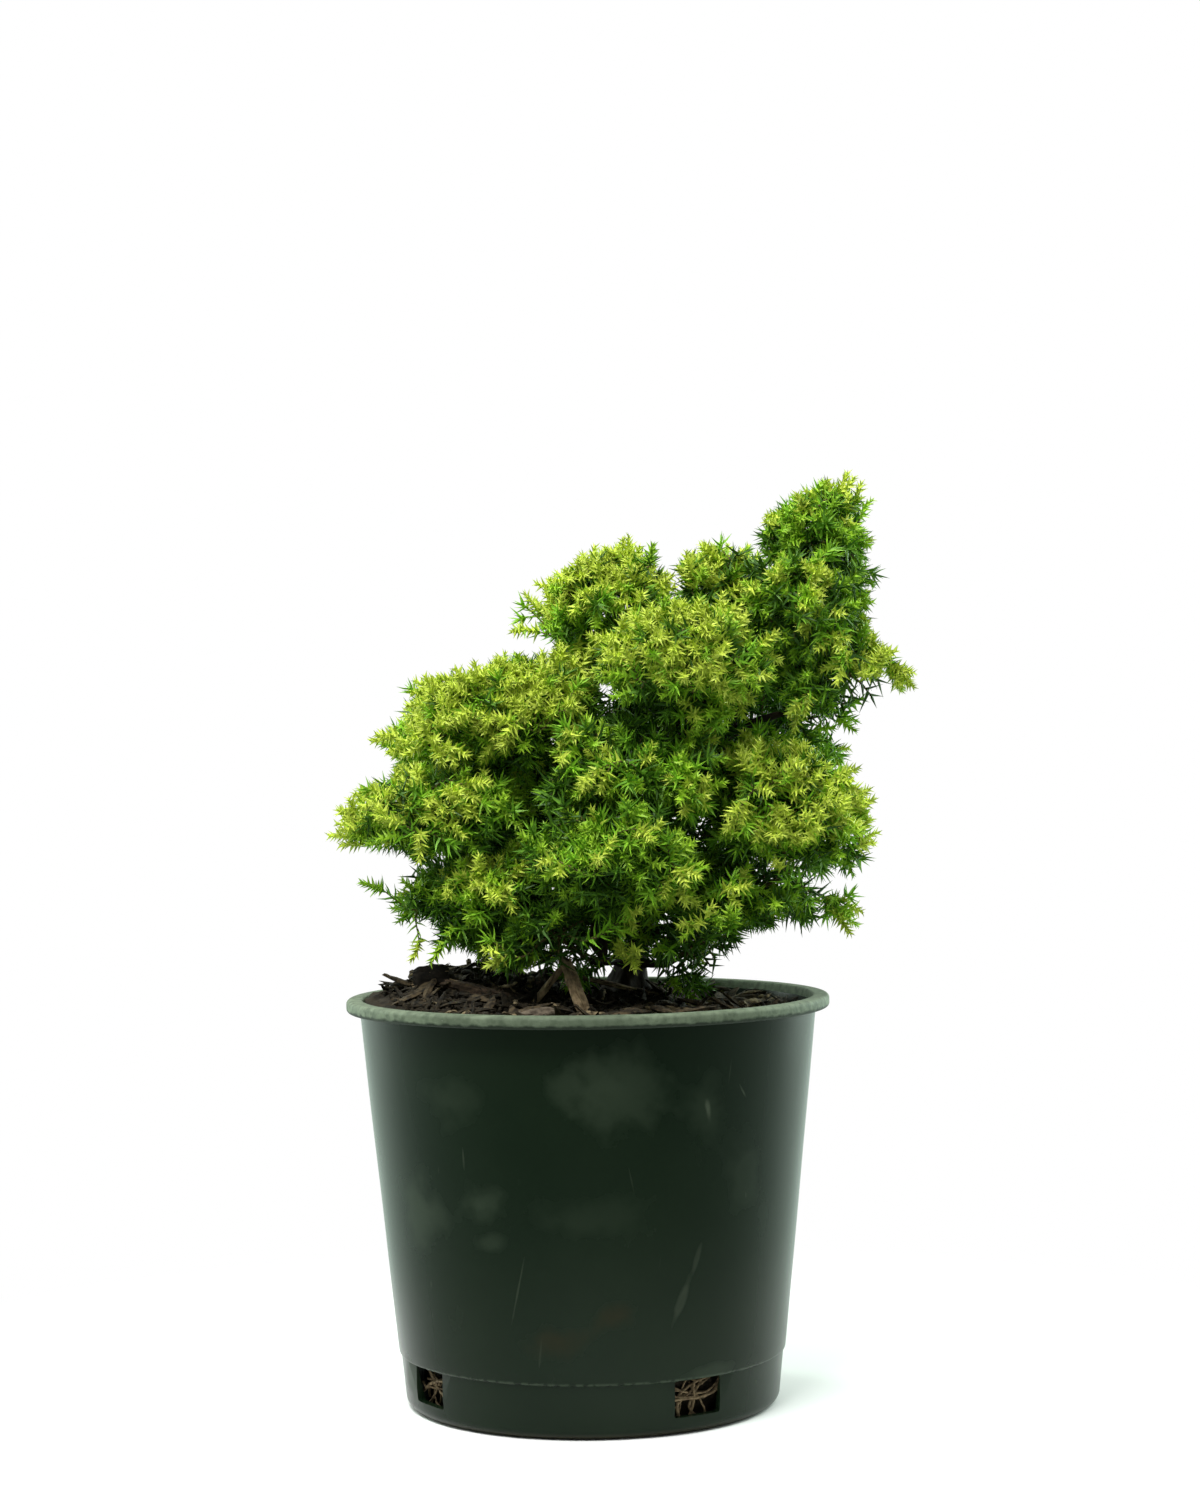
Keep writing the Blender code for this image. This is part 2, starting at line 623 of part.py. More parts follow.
def heart_shell(index, share, room, rng):
    """The dense heart of a mass: a lumpy ball that keeps clear of the limbs, with needles all over it."""
    middle = Vector(room.middles[index])
    mesh = bmesh.new()
    bmesh.ops.create_icosphere(mesh, subdivisions=2 if share > WIDE_HEART else 1, radius=1)
    bmesh.ops.rotate(mesh, verts=mesh.verts, matrix=Matrix.Rotation(rng.uniform(0, math.pi), 3, (0.4, 0.2, 1)))
    directions = [corner.co.normalized() for corner in mesh.verts]
    faces = [tuple(corner.index for corner in face.verts) for face in mesh.faces]
    mesh.free()
    free = [room.farthest(index, direction, TWIG_RADIUS, share) for direction in directions]
    corners = [
        middle + direction * max(reach * rng.uniform(1 - HEART_LUMPS, 1), 2 * TWIG_RADIUS)
        for direction, reach in zip(directions, free)
    ]
    for _ in range(2 * TRIES):
        for face in faces:
            if not room.clears(face_samples([corners[k] for k in face]), TWIG_RADIUS):
                for k in face:
                    corners[k] = corners[k].lerp(middle, 0.12)
    spiked = []
    for face in faces:
        a, b, c = (corners[k] for k in face)
        base, out = (a + b + c) / 3, (b - a).cross(c - a).normalized()
        jitter = Vector([rng.uniform(-0.35, 0.35) for _ in range(3)])
        end = base + (out + jitter).normalized() * NEEDLE_LENGTH * rng.uniform(0.8, 1.3)
        sides = [point for pair in ((a, b), (b, c), (c, a)) for point in face_samples([*pair, end])]
        if room.holds(index, end, 0) and room.clears(sides, TWIG_RADIUS / 2):
            corners.append(end)
            spiked += [(face[k - 1], face[k], len(corners) - 1) for k in range(3)]
        else:
            spiked.append(face)
    return corners, spiked


def twig_points(stem, target):
    """A shoot that leaves the stem forwards and turns out to its target."""
    nearest = min(range(11), key=lambda i: (stem.point(i / 10) - target).length) / 10
    share = FIRST_TWIG + (1 - FIRST_TWIG) * nearest * 0.8
    start = stem.point(share)
    forward = stem.direction(share)
    straight = (target - start).length * BEND_LENGTH
    leave = start + forward * straight
    return bezier(start, leave, target - (target - leave).normalized() * straight, target, 7)


def spray(index, points, room, rng):
    """(points, faces) of one spray: a twig that swells into a slim shoot, and needles that stand out of it
    all round. A needle that would leave the mass's space or touch a limb is left out."""
    tip, ahead = points[-1], (points[-1] - points[-3]).normalized()
    length = min(SPRAY_LENGTH, 0.8 * (tip - points[0]).length)
    stations = [points[0], *(tip - ahead * length * (1 - i / SPRAY_RINGS) for i in range(SPRAY_RINGS)), tip]
    radii = [TWIG_RADIUS, TWIG_RADIUS, *[SPRAY_RADIUS] * (SPRAY_RINGS - 1), 0]
    across = ahead.orthogonal().normalized()
    across.rotate(Matrix.Rotation(rng.uniform(0, 2 * math.pi), 3, ahead))
    corners, faces = tube(stations, radii, 3, across)
    plain, toothed = faces[:3], faces[3:-1]
    for face in toothed:
        middle = sum((corners[k] for k in face), Vector()) / len(face)
        side = middle - tip
        side = (side - ahead * side.dot(ahead)).normalized()
        lean = ahead * math.cos(NEEDLE_SPREAD) + side * math.sin(NEEDLE_SPREAD)
        end = middle + lean * NEEDLE_LENGTH * rng.uniform(0.8, 1.15)
        free = room.clears([middle.lerp(end, i / 4) for i in range(5)], SPRAY_RADIUS)
        if len(face) == 4 and free and room.holds(index, end, 0):
            corners.append(end)
            plain += [(face[k - 1], face[k], len(corners) - 1) for k in range(len(face))]
        else:
            plain.append(face)
    return corners, [*plain, faces[-1]]


def fused(name, shells, material):
    """One solid from a main shell and all that stands out of it."""
    parts = bpy.data.collections.new(name + "_parts")
    bpy.context.scene.collection.children.link(parts)
    main = new_object(name, *shells[0], material)
    for i, shell in enumerate(shells[1:]):
        new_object(f"{name}_part_{i}", *shell, collection=parts)
    union = main.modifiers.new("Fuse", "BOOLEAN")
    union.operation = "UNION"
    union.operand_type = "COLLECTION"
    union.collection = parts
    apply_modifiers(main)
    for obj in list(parts.objects):
        bpy.data.objects.remove(obj)
    bpy.data.collections.remove(parts)
    keep_main_shell(main)
    return main


def mass_stem(index, bough, room):
    """The stem that carries a mass, from just clear of its bough's tip to past the mass's middle."""
    middle, reach = Vector(room.middles[index]), Vector(room.reaches[index])
    ahead = bough.direction(1)
    start = bough.point(1) + ahead * FIT_GAP
    onward = (middle - start).normalized()
    end = middle + Vector([onward[axis] * reach[axis] for axis in range(3)]) * STEM_END
    handle = (end - start).length * 0.35
    points = bezier(start, start + ahead * handle, end - onward * handle, end, 5)
    return Limb(points, [STEM_RADIUS - i * STEM_RADIUS / 10 for i in range(5)])


def is_sound(obj):
    """Whether the mesh stays one closed skin when corners that all but meet are taken as one."""
    mesh = bmesh.new()
    mesh.from_mesh(obj.data)
    bmesh.ops.remove_doubles(mesh, verts=mesh.verts, dist=SOUND_GAP)
    sound = all(edge.is_manifold for edge in mesh.edges) and all(corner.is_manifold for corner in mesh.verts)
    mesh.free()
    return sound


def grow_mass(index, name, spec, sprays, bough, room, material, rng):
    stem = mass_stem(index, bough, room)
    shells = [tube(stem.points, stem.radii, 4), heart_shell(index, spec["heart"], room, rng)]
    middle = Vector(room.middles[index])
    for direction in even_directions(sprays, rng.uniform(0, 2 * math.pi)):
        direction = (direction + Vector([rng.uniform(-0.2, 0.2) for _ in range(3)])).normalized()
        target = middle + direction * room.farthest(index, direction, TWIG_RADIUS)
        twig = twig_points(stem, target)
        if (target - middle).length > SHORTEST_TWIG and room.clears(twig, TWIG_RADIUS):
            shells.append(spray(index, twig, room, rng))
    return fused("foliage_" + name, shells, material)


def build_mass(index, name, spec, bough, room, material):
    """Grows a mass. Where two of its pieces only just touch, it is grown again from another seed, and with
    fewer sprays if that doesn't help."""
    for sprays in range(spec["sprays"], 0, -1):
        for attempt in range(TRIES):
            rng = random.Random(f"{name} {attempt}")
            mass = grow_mass(index, name, spec, sprays, bough, room, material, rng)
            if is_sound(mass):
                return
            bpy.data.objects.remove(mass)
    raise RuntimeError(f"no sound form was found for {name}")


def main():
    clear_scene()
    rng = random.Random(SEED)
    plastic = finish_material("green_pot_plastic", (0.016, 0.034, 0.026), 0.32)
    mix = finish_material("potting_mix", (0.030, 0.022, 0.013), 0.95)
    mulch = finish_material("bark_mulch", (0.075, 0.045, 0.026), 0.9)
    bark = finish_material("cedar_bark", (0.085, 0.050, 0.032), 0.85)
    bright = finish_material("new_needles", (0.32, 0.44, 0.035), 0.5)
    green = finish_material("older_needles", (0.075, 0.21, 0.022), 0.5)

    build_pot(plastic)
    build_potting_mix(mix, rng)
    for name, spec in BARK_PIECES.items():
        bark_piece(name, spec).data.materials.append(mulch)

    smooth(new_object("trunk", *trunk_shell(), bark), 60)
    trunk = trunk_limb()
    limbs = {}
    for name, spec in MASSES.items():
        if spec["at"] == 1:
            limbs[name] = trunk
            continue
        limbs[name] = bough_limb(trunk, spec)
        clearance = new_object("trunk_clearance", *trunk_shell(FIT_GAP))
        build_bough("bough_" + name, limbs[name], clearance, bark)

    room = Room([*limbs.values(), *[bark_limb(spec) for spec in BARK_PIECES.values()]])
    for index, (name, spec) in enumerate(MASSES.items()):
        build_mass(index, name, spec, limbs[name], room, bright if name in BRIGHT_MASSES else green)


main()
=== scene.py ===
import json
import math
import random

import bmesh
import bpy
import numpy as np
from mathutils import Matrix, Vector, noise

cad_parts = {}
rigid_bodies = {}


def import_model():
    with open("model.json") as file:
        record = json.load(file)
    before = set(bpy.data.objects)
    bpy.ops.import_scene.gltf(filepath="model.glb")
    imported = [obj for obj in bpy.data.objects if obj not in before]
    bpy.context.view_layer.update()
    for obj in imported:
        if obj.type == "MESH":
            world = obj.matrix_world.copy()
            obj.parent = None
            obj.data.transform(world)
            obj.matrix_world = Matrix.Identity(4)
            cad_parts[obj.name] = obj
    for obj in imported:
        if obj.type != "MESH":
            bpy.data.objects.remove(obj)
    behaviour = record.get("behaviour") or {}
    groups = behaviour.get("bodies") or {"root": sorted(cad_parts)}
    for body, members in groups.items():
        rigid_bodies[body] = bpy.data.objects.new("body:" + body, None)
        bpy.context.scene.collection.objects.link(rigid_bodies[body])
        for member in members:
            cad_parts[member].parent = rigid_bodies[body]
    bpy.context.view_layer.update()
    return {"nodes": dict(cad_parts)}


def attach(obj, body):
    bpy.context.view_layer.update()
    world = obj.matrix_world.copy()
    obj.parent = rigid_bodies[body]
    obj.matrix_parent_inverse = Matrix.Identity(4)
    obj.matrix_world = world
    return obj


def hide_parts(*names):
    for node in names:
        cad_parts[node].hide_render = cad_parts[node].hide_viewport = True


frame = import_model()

mm = 0.001
goldenAngle = math.pi * (3 - math.sqrt(5))
scene = bpy.context.scene
nodeNames = sorted(frame["nodes"])
foliageNodes = [name for name in nodeNames if name.startswith("foliage_")]
boughNodes = [name for name in nodeNames if name.startswith("bough_")]
barkNodes = [name for name in nodeNames if name.startswith("bark_")]


def addNode(tree, kind, wires=None, **settings):
    node = tree.nodes.new(kind)
    for name, value in settings.items():
        setattr(node, name, value)
    for socket, source in (wires or {}).items():
        if isinstance(source, bpy.types.NodeSocket):
            tree.links.new(source, node.inputs[socket])
        else:
            node.inputs[socket].default_value = source
    return node


def outOf(tree, kind, wires=None, out=0, **settings):
    return addNode(tree, kind, wires, **settings).outputs[out]


def calc(tree, operation, *values):
    return outOf(tree, "ShaderNodeMath", dict(enumerate(values)), operation=operation)


def plus(tree, first, second):
    return calc(tree, "ADD", first, second)


def minus(tree, first, second):
    return calc(tree, "SUBTRACT", first, second)


def times(tree, first, second):
    return calc(tree, "MULTIPLY", first, second)


def vectorMath(tree, operation, *values, out=0):
    return outOf(tree, "ShaderNodeVectorMath", dict(enumerate(values)), out, operation=operation)


def turnOver(tree, vector, angle):
    # turns a place about the front-to-back axis
    return outOf(tree, "ShaderNodeVectorRotate", {"Vector": vector, "Axis": (0, 1, 0), "Angle": angle})


def axisOf(tree, vector, axis):
    return outOf(tree, "ShaderNodeSeparateXYZ", {0: vector}, axis)


def objectPlace(tree):
    return outOf(tree, "ShaderNodeTexCoord", out="Object")


def noiseAt(tree, place, scale, detail):
    return outOf(tree, "ShaderNodeTexNoise", {"Vector": place, "Scale": scale, "Detail": detail}, "Fac")


def mapRange(tree, value, low, high, newLow=0.0, newHigh=1.0, kind="LINEAR"):
    wires = dict(enumerate((value, low, high, newLow, newHigh)))
    return outOf(tree, "ShaderNodeMapRange", wires, interpolation_type=kind)


def mixColours(tree, share, first, second):
    return outOf(tree, "ShaderNodeMix", {0: share, 6: first, 7: second}, 2, data_type="RGBA")


def turnAbout(tree, axis, angle):
    return outOf(tree, "FunctionNodeAxisAngleToRotation", {0: axis, 1: angle})


def turnBy(tree, rotation, added):
    return outOf(tree, "FunctionNodeRotateRotation", {0: rotation, 1: added}, rotation_space="LOCAL")


def chance(tree, seed, low, high, shift, kind="FLOAT"):
    # a number by chance for each instance, a whole one for the kind INT
    slot, out = (4, 2) if kind == "INT" else (2, 1)
    wires = {slot: low, slot + 1: high, "Seed": plus(tree, seed, shift)}
    return outOf(tree, "FunctionNodeRandomValue", wires, out, data_type=kind)


def socketKind(value):
    if isinstance(value, str):
        return value
    if isinstance(value, tuple):
        return "Color" if len(value) == 4 else "Vector"
    return "Int" if isinstance(value, int) else "Float"


def newTree(name, kind, inputs, outputs):
    # inputs and outputs: the default of each socket, or its kind where it has no default
    tree = bpy.data.node_groups.new(name, kind)
    for inOut, sockets in (("INPUT", inputs), ("OUTPUT", outputs)):
        for label, value in sockets.items():
            kind = "NodeSocket" + socketKind(value)
            socket = tree.interface.new_socket(label, in_out=inOut, socket_type=kind)
            if not isinstance(value, str):
                socket.default_value = value
    return tree, tree.nodes.new("NodeGroupInput").outputs, tree.nodes.new("NodeGroupOutput").inputs


def endTree(tree, geometry, given, result):
    realized = outOf(tree, "GeometryNodeRealizeInstances", {0: geometry})
    finished = outOf(tree, "GeometryNodeSetMaterial", {0: realized, "Material": given["material"]})
    tree.links.new(finished, result["geometry"])
    return tree


def endGroup(tree, mask, given, laidOver, result):
    # puts out a colour with another laid over it by a mask, and the mask
    tree.links.new(mixColours(tree, mask, given["colour"], given[laidOver]), result["colour"])
    tree.links.new(mask, result["mask"])
    return tree


def meshFrom(name, points, faces=(), edges=(), finishes=()):
    mesh = bpy.data.meshes.new(name)
    mesh.from_pydata([tuple(point) for point in points], [tuple(edge) for edge in edges], faces)
    for finish in finishes:
        mesh.materials.append(finish)
    obj = bpy.data.objects.new(name, mesh)
    scene.collection.objects.link(obj)
    return obj


def applyModifiers(obj):
    mesh = bpy.data.meshes.new_from_object(obj.evaluated_get(bpy.context.evaluated_depsgraph_get()))
    obj.modifiers.clear()
    obj.data = mesh


def runTree(obj, tree, settings):
    # runs a Geometry Nodes tree on an object and keeps the plain mesh that comes out
    modifier = obj.modifiers.new(tree.name, "NODES")
    modifier.node_group = tree
    for item in tree.interface.items_tree:
        if item.in_out == "INPUT" and item.name in settings:
            modifier[item.identifier] = settings[item.name]
    applyModifiers(obj)
    return obj


def turnsRound(sides):
    return [2 * math.pi * k / sides for k in range(sides)]


def joinRings(rings, sides, first=0, flip=False):
    # the faces between rings of corners, which start at the corner called first
    faces = []
    for ring in range(rings - 1):
        for k in range(sides):
            low, lowNext = first + ring * sides + k, first + ring * sides + (k + 1) % sides
            face = (low, lowNext, lowNext + sides, low + sides)
            faces.append(face[:1] + face[:0:-1] if flip else face)
    return faces


def tubeFaces(rings, sides, flip=False):
    # the skin of a closed tube with its two end caps
    first, last = tuple(range(sides)), tuple((rings - 1) * sides + k for k in range(sides))
    return joinRings(rings, sides, flip=flip) + ([first, last[::-1]] if flip else [first[::-1], last])


def keepPiece(obj, slot, *nodes):
    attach(obj, "root")
    if nodes:
        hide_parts(*nodes)


def keepSmooth(obj, slot, *nodes, sharpFrom=None):
    # sharpFrom: the angle in degrees from which an edge stays sharp
    obj.data.shade_smooth()
    if sharpFrom:
        obj.data.set_sharp_from_angle(angle=math.radians(sharpFrom))
    keepPiece(obj, slot, *nodes)


colourAndMask = dict(colour="Color", mask="Float")


def makeMottleGroup():
    # two colours mingled in soft patches
    tree, given, result = newTree("softMottle", "ShaderNodeTree", dict(
        colour=(0.5, 0.5, 0.5, 1), patchColour=(0.3, 0.3, 0.3, 1), scale=80.0, detail=4.0,
        patchShare=0.5, softness=0.2, stretch=(1, 1, 1)), colourAndMask)
    stretched = vectorMath(tree, "MULTIPLY", objectPlace(tree), given["stretch"])
    cloud = noiseAt(tree, stretched, given["scale"], given["detail"])
    level = minus(tree, 1, given["patchShare"])
    low, high = minus(tree, level, given["softness"]), plus(tree, level, given["softness"])
    mask = mapRange(tree, cloud, low, high, kind="SMOOTHSTEP")
    return endGroup(tree, mask, given, "patchColour", result)


def makeGrainGroup():
    # fine relief for a Bump, coarse and fine together
    tree, given, result = newTree("fineGrain", "ShaderNodeTree", dict(
        scale=400.0, fineScale=1600.0, fineShare=0.4, stretch=(1, 1, 1)), dict(height="Float"))
    stretched = vectorMath(tree, "MULTIPLY", objectPlace(tree), given["stretch"])
    coarse = noiseAt(tree, stretched, given["scale"], 5)
    fine = noiseAt(tree, stretched, given["fineScale"], 2)
    tree.links.new(plus(tree, coarse, times(tree, fine, given["fineShare"])), result["height"])
    return tree


def makeScratchGroup():
    # thin pale dashes, long in one direction, in a few patches
    tree, given, result = newTree("thinScratches", "ShaderNodeTree", dict(
        colour=(0, 0, 0, 1), scratchColour=(0.2, 0.2, 0.2, 1), scale=160.0, width=0.06, amount=0.5,
        stretch=(1, 1, 0.04), lean=0.15), colourAndMask)
    place = objectPlace(tree)
    stretched = vectorMath(tree, "MULTIPLY", turnOver(tree, place, given["lean"]), given["stretch"])
    wires = {"Vector": stretched, "Scale": given["scale"]}
    line = mapRange(tree, outOf(tree, "ShaderNodeTexVoronoi", wires, "Distance"), given["width"], 0.0)
    where = mapRange(tree, noiseAt(tree, place, 38, 1), 0.50, 0.62)
    mask = times(tree, times(tree, line, where), given["amount"])
    return endGroup(tree, mask, given, "scratchColour", result)


def makeSmudgeGroup():
    # one ragged smudge at a place on the surface
    tree, given, result = newTree("softSmudge", "ShaderNodeTree", dict(
        colour=(0, 0, 0, 1), smudgeColour=(0.2, 0.2, 0.2, 1), centre=(0, 0, 0), size=(0.02, 0.02, 0.02),
        amount=0.5, lean=0.0), colourAndMask)
    place = objectPlace(tree)
    leant = turnOver(tree, vectorMath(tree, "SUBTRACT", place, given["centre"]), given["lean"])
    distance = vectorMath(tree, "LENGTH", vectorMath(tree, "DIVIDE", leant, given["size"]), out="Value")
    cloud = noiseAt(tree, place, 85, 5)
    ragged = plus(tree, distance, times(tree, minus(tree, cloud, 0.5), 2.2))
    spot = mapRange(tree, ragged, 1.15, 0.25, kind="SMOOTHSTEP")
    mask = times(tree, times(tree, spot, plus(tree, cloud, 0.3)), given["amount"])
    return endGroup(tree, mask, given, "smudgeColour", result)


mottleGroup, grainGroup = makeMottleGroup(), makeGrainGroup()
scratchGroup, smudgeGroup = makeScratchGroup(), makeSmudgeGroup()


def rgba(colour):
    return (*colour, 1)


def newFinish(name, roughness, specular):
    material = bpy.data.materials.new(name)
    material.use_nodes = True
    tree = material.node_tree
    shader = tree.nodes["Principled BSDF"].inputs
    shader["Roughness"].default_value = roughness
    shader["Specular IOR Level"].default_value = specular
    return material, tree, shader


def useGroup(tree, group, **values):
    return addNode(tree, "ShaderNodeGroup", values, node_tree=group).outputs


def mottle(tree, colour, patchColour, **values):
    return useGroup(tree, mottleGroup, colour=colour, patchColour=patchColour, **values)


def paint(tree, shader, colour, depth=0.0, **grain):
    # the base colour and, where there is a depth, a grain of that depth
    tree.links.new(colour, shader["Base Color"])
    if depth:
        height = useGroup(tree, grainGroup, **grain)["height"]
        tree.links.new(outOf(tree, "ShaderNodeBump", {"Height": height, "Distance": depth}), shader["Normal"])


def makeMottledFinish(name, spec):
    # a finish of two mingled colours with a fine relief
    material, tree, shader = newFinish(name, spec["roughness"], spec["specular"])
    given = {key: spec[key] for key in ("patchShare", "stretch") if key in spec}
    patches = mottle(tree, rgba(spec["colour"]), rgba(spec["patch"]), scale=spec["patchScale"], **given)
    scale = spec.get("grainScale", 0)
    paint(tree, shader, patches["colour"], spec.get("grainDepth"), scale=scale, fineScale=scale * 4,
          stretch=spec.get("stretch", (1, 1, 1)))
    return material


# the trunk and the boughs follow the same rule as the solids
trunkLook = {
    "foot": Vector((14, 2, 147.5)) * mm,
    "solidFoot": Vector((14, 2, 150.8)) * mm,
    "rise": 148 * mm,
    "lean": 68 * mm,
    "leanCurve": 1.25,
    "sway": 4 * mm,
    "backLean": 6 * mm,
    "radius": 5.2 * mm,
    "tipRadius": 1.3 * mm,
    "flare": 0.7,
    "flareHeight": 7 * mm,
    "lobes": 4,
    "lobeDepth": 0.35,
    "firstLobe": 0.6,
    "sides": 56,
    "rings": 130,
    "barkDepth": 0.55 * mm,
    "barkWidth": 1.6 * mm,
    "barkLength": 11 * mm,
}
boughLook = {
    "radius": 2.1 * mm,
    "tipRadius": 1.0 * mm,
    "launchRise": math.radians(38),
    "arrivalRise": math.radians(12),
    "bend": 0.38,
    "massEntry": 0.84,
    "entryDrop": 0.25,  # how far below the straight way a bough enters its mass
    "stations": 26,
    "trunkShare": 0.75,  # a bough is no thicker than this share of the trunk where it leaves
    "sides": 12,
    "barkDepth": 0.22 * mm,
    "barkWidth": 0.8 * mm,
    "barkLength": 5 * mm,
}
barkLook = {
    "colour": (0.034, 0.022, 0.014),
    "patch": (0.013, 0.009, 0.007),
    "patchScale": 260,
    "patchShare": 0.45,
    "stretch": (1, 1, 0.22),
    "roughness": 0.85,
    "specular": 0.2,
    "grainScale": 700,
    "grainDepth": 0.25 * mm,
}


def trunkPoint(share):
    look = trunkLook
    across = look["lean"] * share ** look["leanCurve"]
    sway = look["sway"] * math.sin(2 * math.pi * share)
    return look["solidFoot"] + Vector((across, sway + look["backLean"] * share, look["rise"] * share))


def trunkRadius(share, turn=0.0):
    look = trunkLook
    plain = look["radius"] + (look["tipRadius"] - look["radius"]) * share**0.8
    flare = look["flare"] * math.exp(-share * look["rise"] / look["flareHeight"])
    lobe = look["lobeDepth"] * math.cos(look["lobes"] * turn + look["firstLobe"])
    return plain * (1 + flare * (1 + lobe))


def bezier(start, leave, arrive, end, count):
    return [
        start * (1 - t) ** 3 + leave * (3 * t * (1 - t) ** 2) + arrive * (3 * t * t * (1 - t)) + end * t**3
        for t in (i / (count - 1) for i in range(count))
    ]


def rising(level, angle):
    return level * math.cos(angle) + Vector((0, 0, math.sin(angle)))


def boughLine(spec):
    look = boughLook
    start = trunkPoint(spec["at"])
    middle, reach = Vector(spec["middle"]) * mm, Vector(spec["reach"]) * mm
    back = start - middle
    back.z -= back.length * look["entryDrop"]
    outShare = Vector([back[axis] / reach[axis] for axis in range(3)]).length
    end = middle + back * (look["massEntry"] / outShare)
    level = Vector((end.x - start.x, end.y - start.y, 0)).normalized()
    leave = rising(level, look["launchRise"])
    arrive = (rising(level, look["arrivalRise"]) + (middle - end).normalized()).normalized()
    bend = (end - start).length * look["bend"]
    return bezier(start, start + leave * bend, end - arrive * bend, end, look["stations"])


def barkTube(points, radiusAt, look, upright=False):
    # a closed limb with ridges and furrows that run along it
    corners, along, across = [], 0.0, None
    for i, point in enumerate(points):
        ahead = (points[min(i + 1, len(points) - 1)] - points[max(i - 1, 0)]).normalized()
        if i:
            along += (point - points[i - 1]).length
        if upright:
            ahead, across = Vector((0, 0, 1)), Vector((1, 0, 0))
        if across is None:
            across = ahead.orthogonal()
        across = (across - ahead * across.dot(ahead)).normalized()
        beside = ahead.cross(across)
        for turn in turnsRound(look["sides"]):
            radius, c, s = radiusAt(i / (len(points) - 1), turn), math.cos(turn), math.sin(turn)
            width = look["barkWidth"]
            wrapped = Vector((c * radius / width, s * radius / width, along / look["barkLength"]))
            ridge = noise.noise(wrapped * 1.3) * 0.6 + noise.noise(wrapped * 3.1 + Vector((7, 3, 1))) * 0.4
            corners.append(point + (across * c + beside * s) * (radius + ridge * look["barkDepth"]))
    return corners, tubeFaces(len(points), look["sides"])


def makeTrunk(finish):
    look = trunkLook
    shares = [(i / (look["rings"] - 1)) ** 1.3 for i in range(look["rings"])]

    def radiusAt(place, turn):
        return trunkRadius(shares[max(round(place * look["rings"]) - 1, 0)], turn)

    points = [look["foot"]] + [trunkPoint(share) for share in shares]
    corners, faces = barkTube(points, radiusAt, look, True)
    keepSmooth(meshFrom("trunkBark", corners, faces, finishes=[finish]), "bark", "trunk")


def boughTaper(thickest):
    return lambda place, turn: thickest + (boughLook["tipRadius"] - thickest) * place


def makeBoughs(finish, lines):
    look = boughLook
    corners, faces = [], []
    for name, line in lines.items():
        thickest = min(look["radius"], trunkRadius(masses[name]["at"]) * look["trunkShare"])
        points, skin = barkTube(line, boughTaper(thickest), look)
        faces += [tuple(k + len(corners) for k in face) for face in skin]
        corners += points
    keepSmooth(meshFrom("boughBark", corners, faces, finishes=[finish]), "bark", *boughNodes)


# the solids' masses, grown again with finer twigs and every needle
# at: where the bough leaves the trunk. middle, reach: the space that the mass keeps to, in mm.
# sun: how brightly lit and how yellow the shoots are, painted light and shade with the real yellowing of
# sunny growth. loose: how far apart they stand
masses = {
    "leader": dict(at=1.0, middle=(88, 7, 314), reach=(23, 24, 26), sun=0.42, loose=0.95),
    "upper_right": dict(at=0.78, middle=(87, 24, 282), reach=(23, 25, 26), sun=1.25, loose=1.0),
    "upper_front": dict(at=0.82, middle=(78, -18, 290), reach=(23, 20, 25), sun=0.70, loose=1.0),
    "right_shoulder": dict(at=0.62, middle=(95, -8, 266), reach=(26, 23, 15), sun=1.30, loose=1.0),
    "upper_middle": dict(at=0.72, middle=(51, 14, 293), reach=(24, 28, 25), sun=1.20, loose=1.0),
    "upper_left": dict(at=0.55, middle=(13, 12, 291), reach=(34, 29, 25), sun=0.90, loose=1.0),
    "front_crown": dict(at=0.50, middle=(37, -32, 271), reach=(37, 30, 22), sun=1.02, loose=0.95),
    "left_middle": dict(at=0.37, middle=(-25, -6, 251), reach=(45, 33, 25), sun=1.22, loose=0.95),
    "left_back": dict(at=0.30, middle=(-52, 27, 243), reach=(31, 29, 18), sun=1.05, loose=1.0),
    "far_left": dict(at=0.19, middle=(-54, -17, 216), reach=(37, 33, 18), sun=0.84, loose=0.95),
    "front_middle": dict(at=0.34, middle=(16, -28, 229), reach=(38, 30, 25), sun=0.56, loose=1.0),
    "right_middle": dict(at=0.26, middle=(68, -18, 214), reach=(38, 33, 30), sun=1.00, loose=1.0),
    "front_low": dict(at=0.16, middle=(10, -46, 200), reach=(36, 29, 23), sun=0.42, loose=1.0),
    "lower_left": dict(at=0.08, middle=(-37, -14, 186), reach=(37, 33, 22), sun=0.80, loose=1.05),
    "low_front": dict(at=0.05, middle=(-8, -34, 173), reach=(32, 28, 15), sun=0.13, loose=1.0),
    "low_right": dict(at=0.04, middle=(38, -36, 171), reach=(20, 24, 14), sun=0.62, loose=1.0),
    "lower_right": dict(at=0.12, middle=(61, -12, 189), reach=(37, 30, 17), sun=0.88, loose=1.1),
    "back_left": dict(at=0.23, middle=(-30, 48, 218), reach=(42, 32, 30), sun=0.74, loose=1.1),
    "back_right": dict(at=0.42, middle=(69, 46, 240), reach=(37, 33, 33), sun=0.74, loose=1.1),
    "back_low": dict(at=0.13, middle=(22, 50, 188), reach=(43, 32, 22), sun=0.50, loose=1.2),
    "back_crown": dict(at=0.46, middle=(24, 44, 266), reach=(37, 32, 26), sun=0.84, loose=1.1),
}
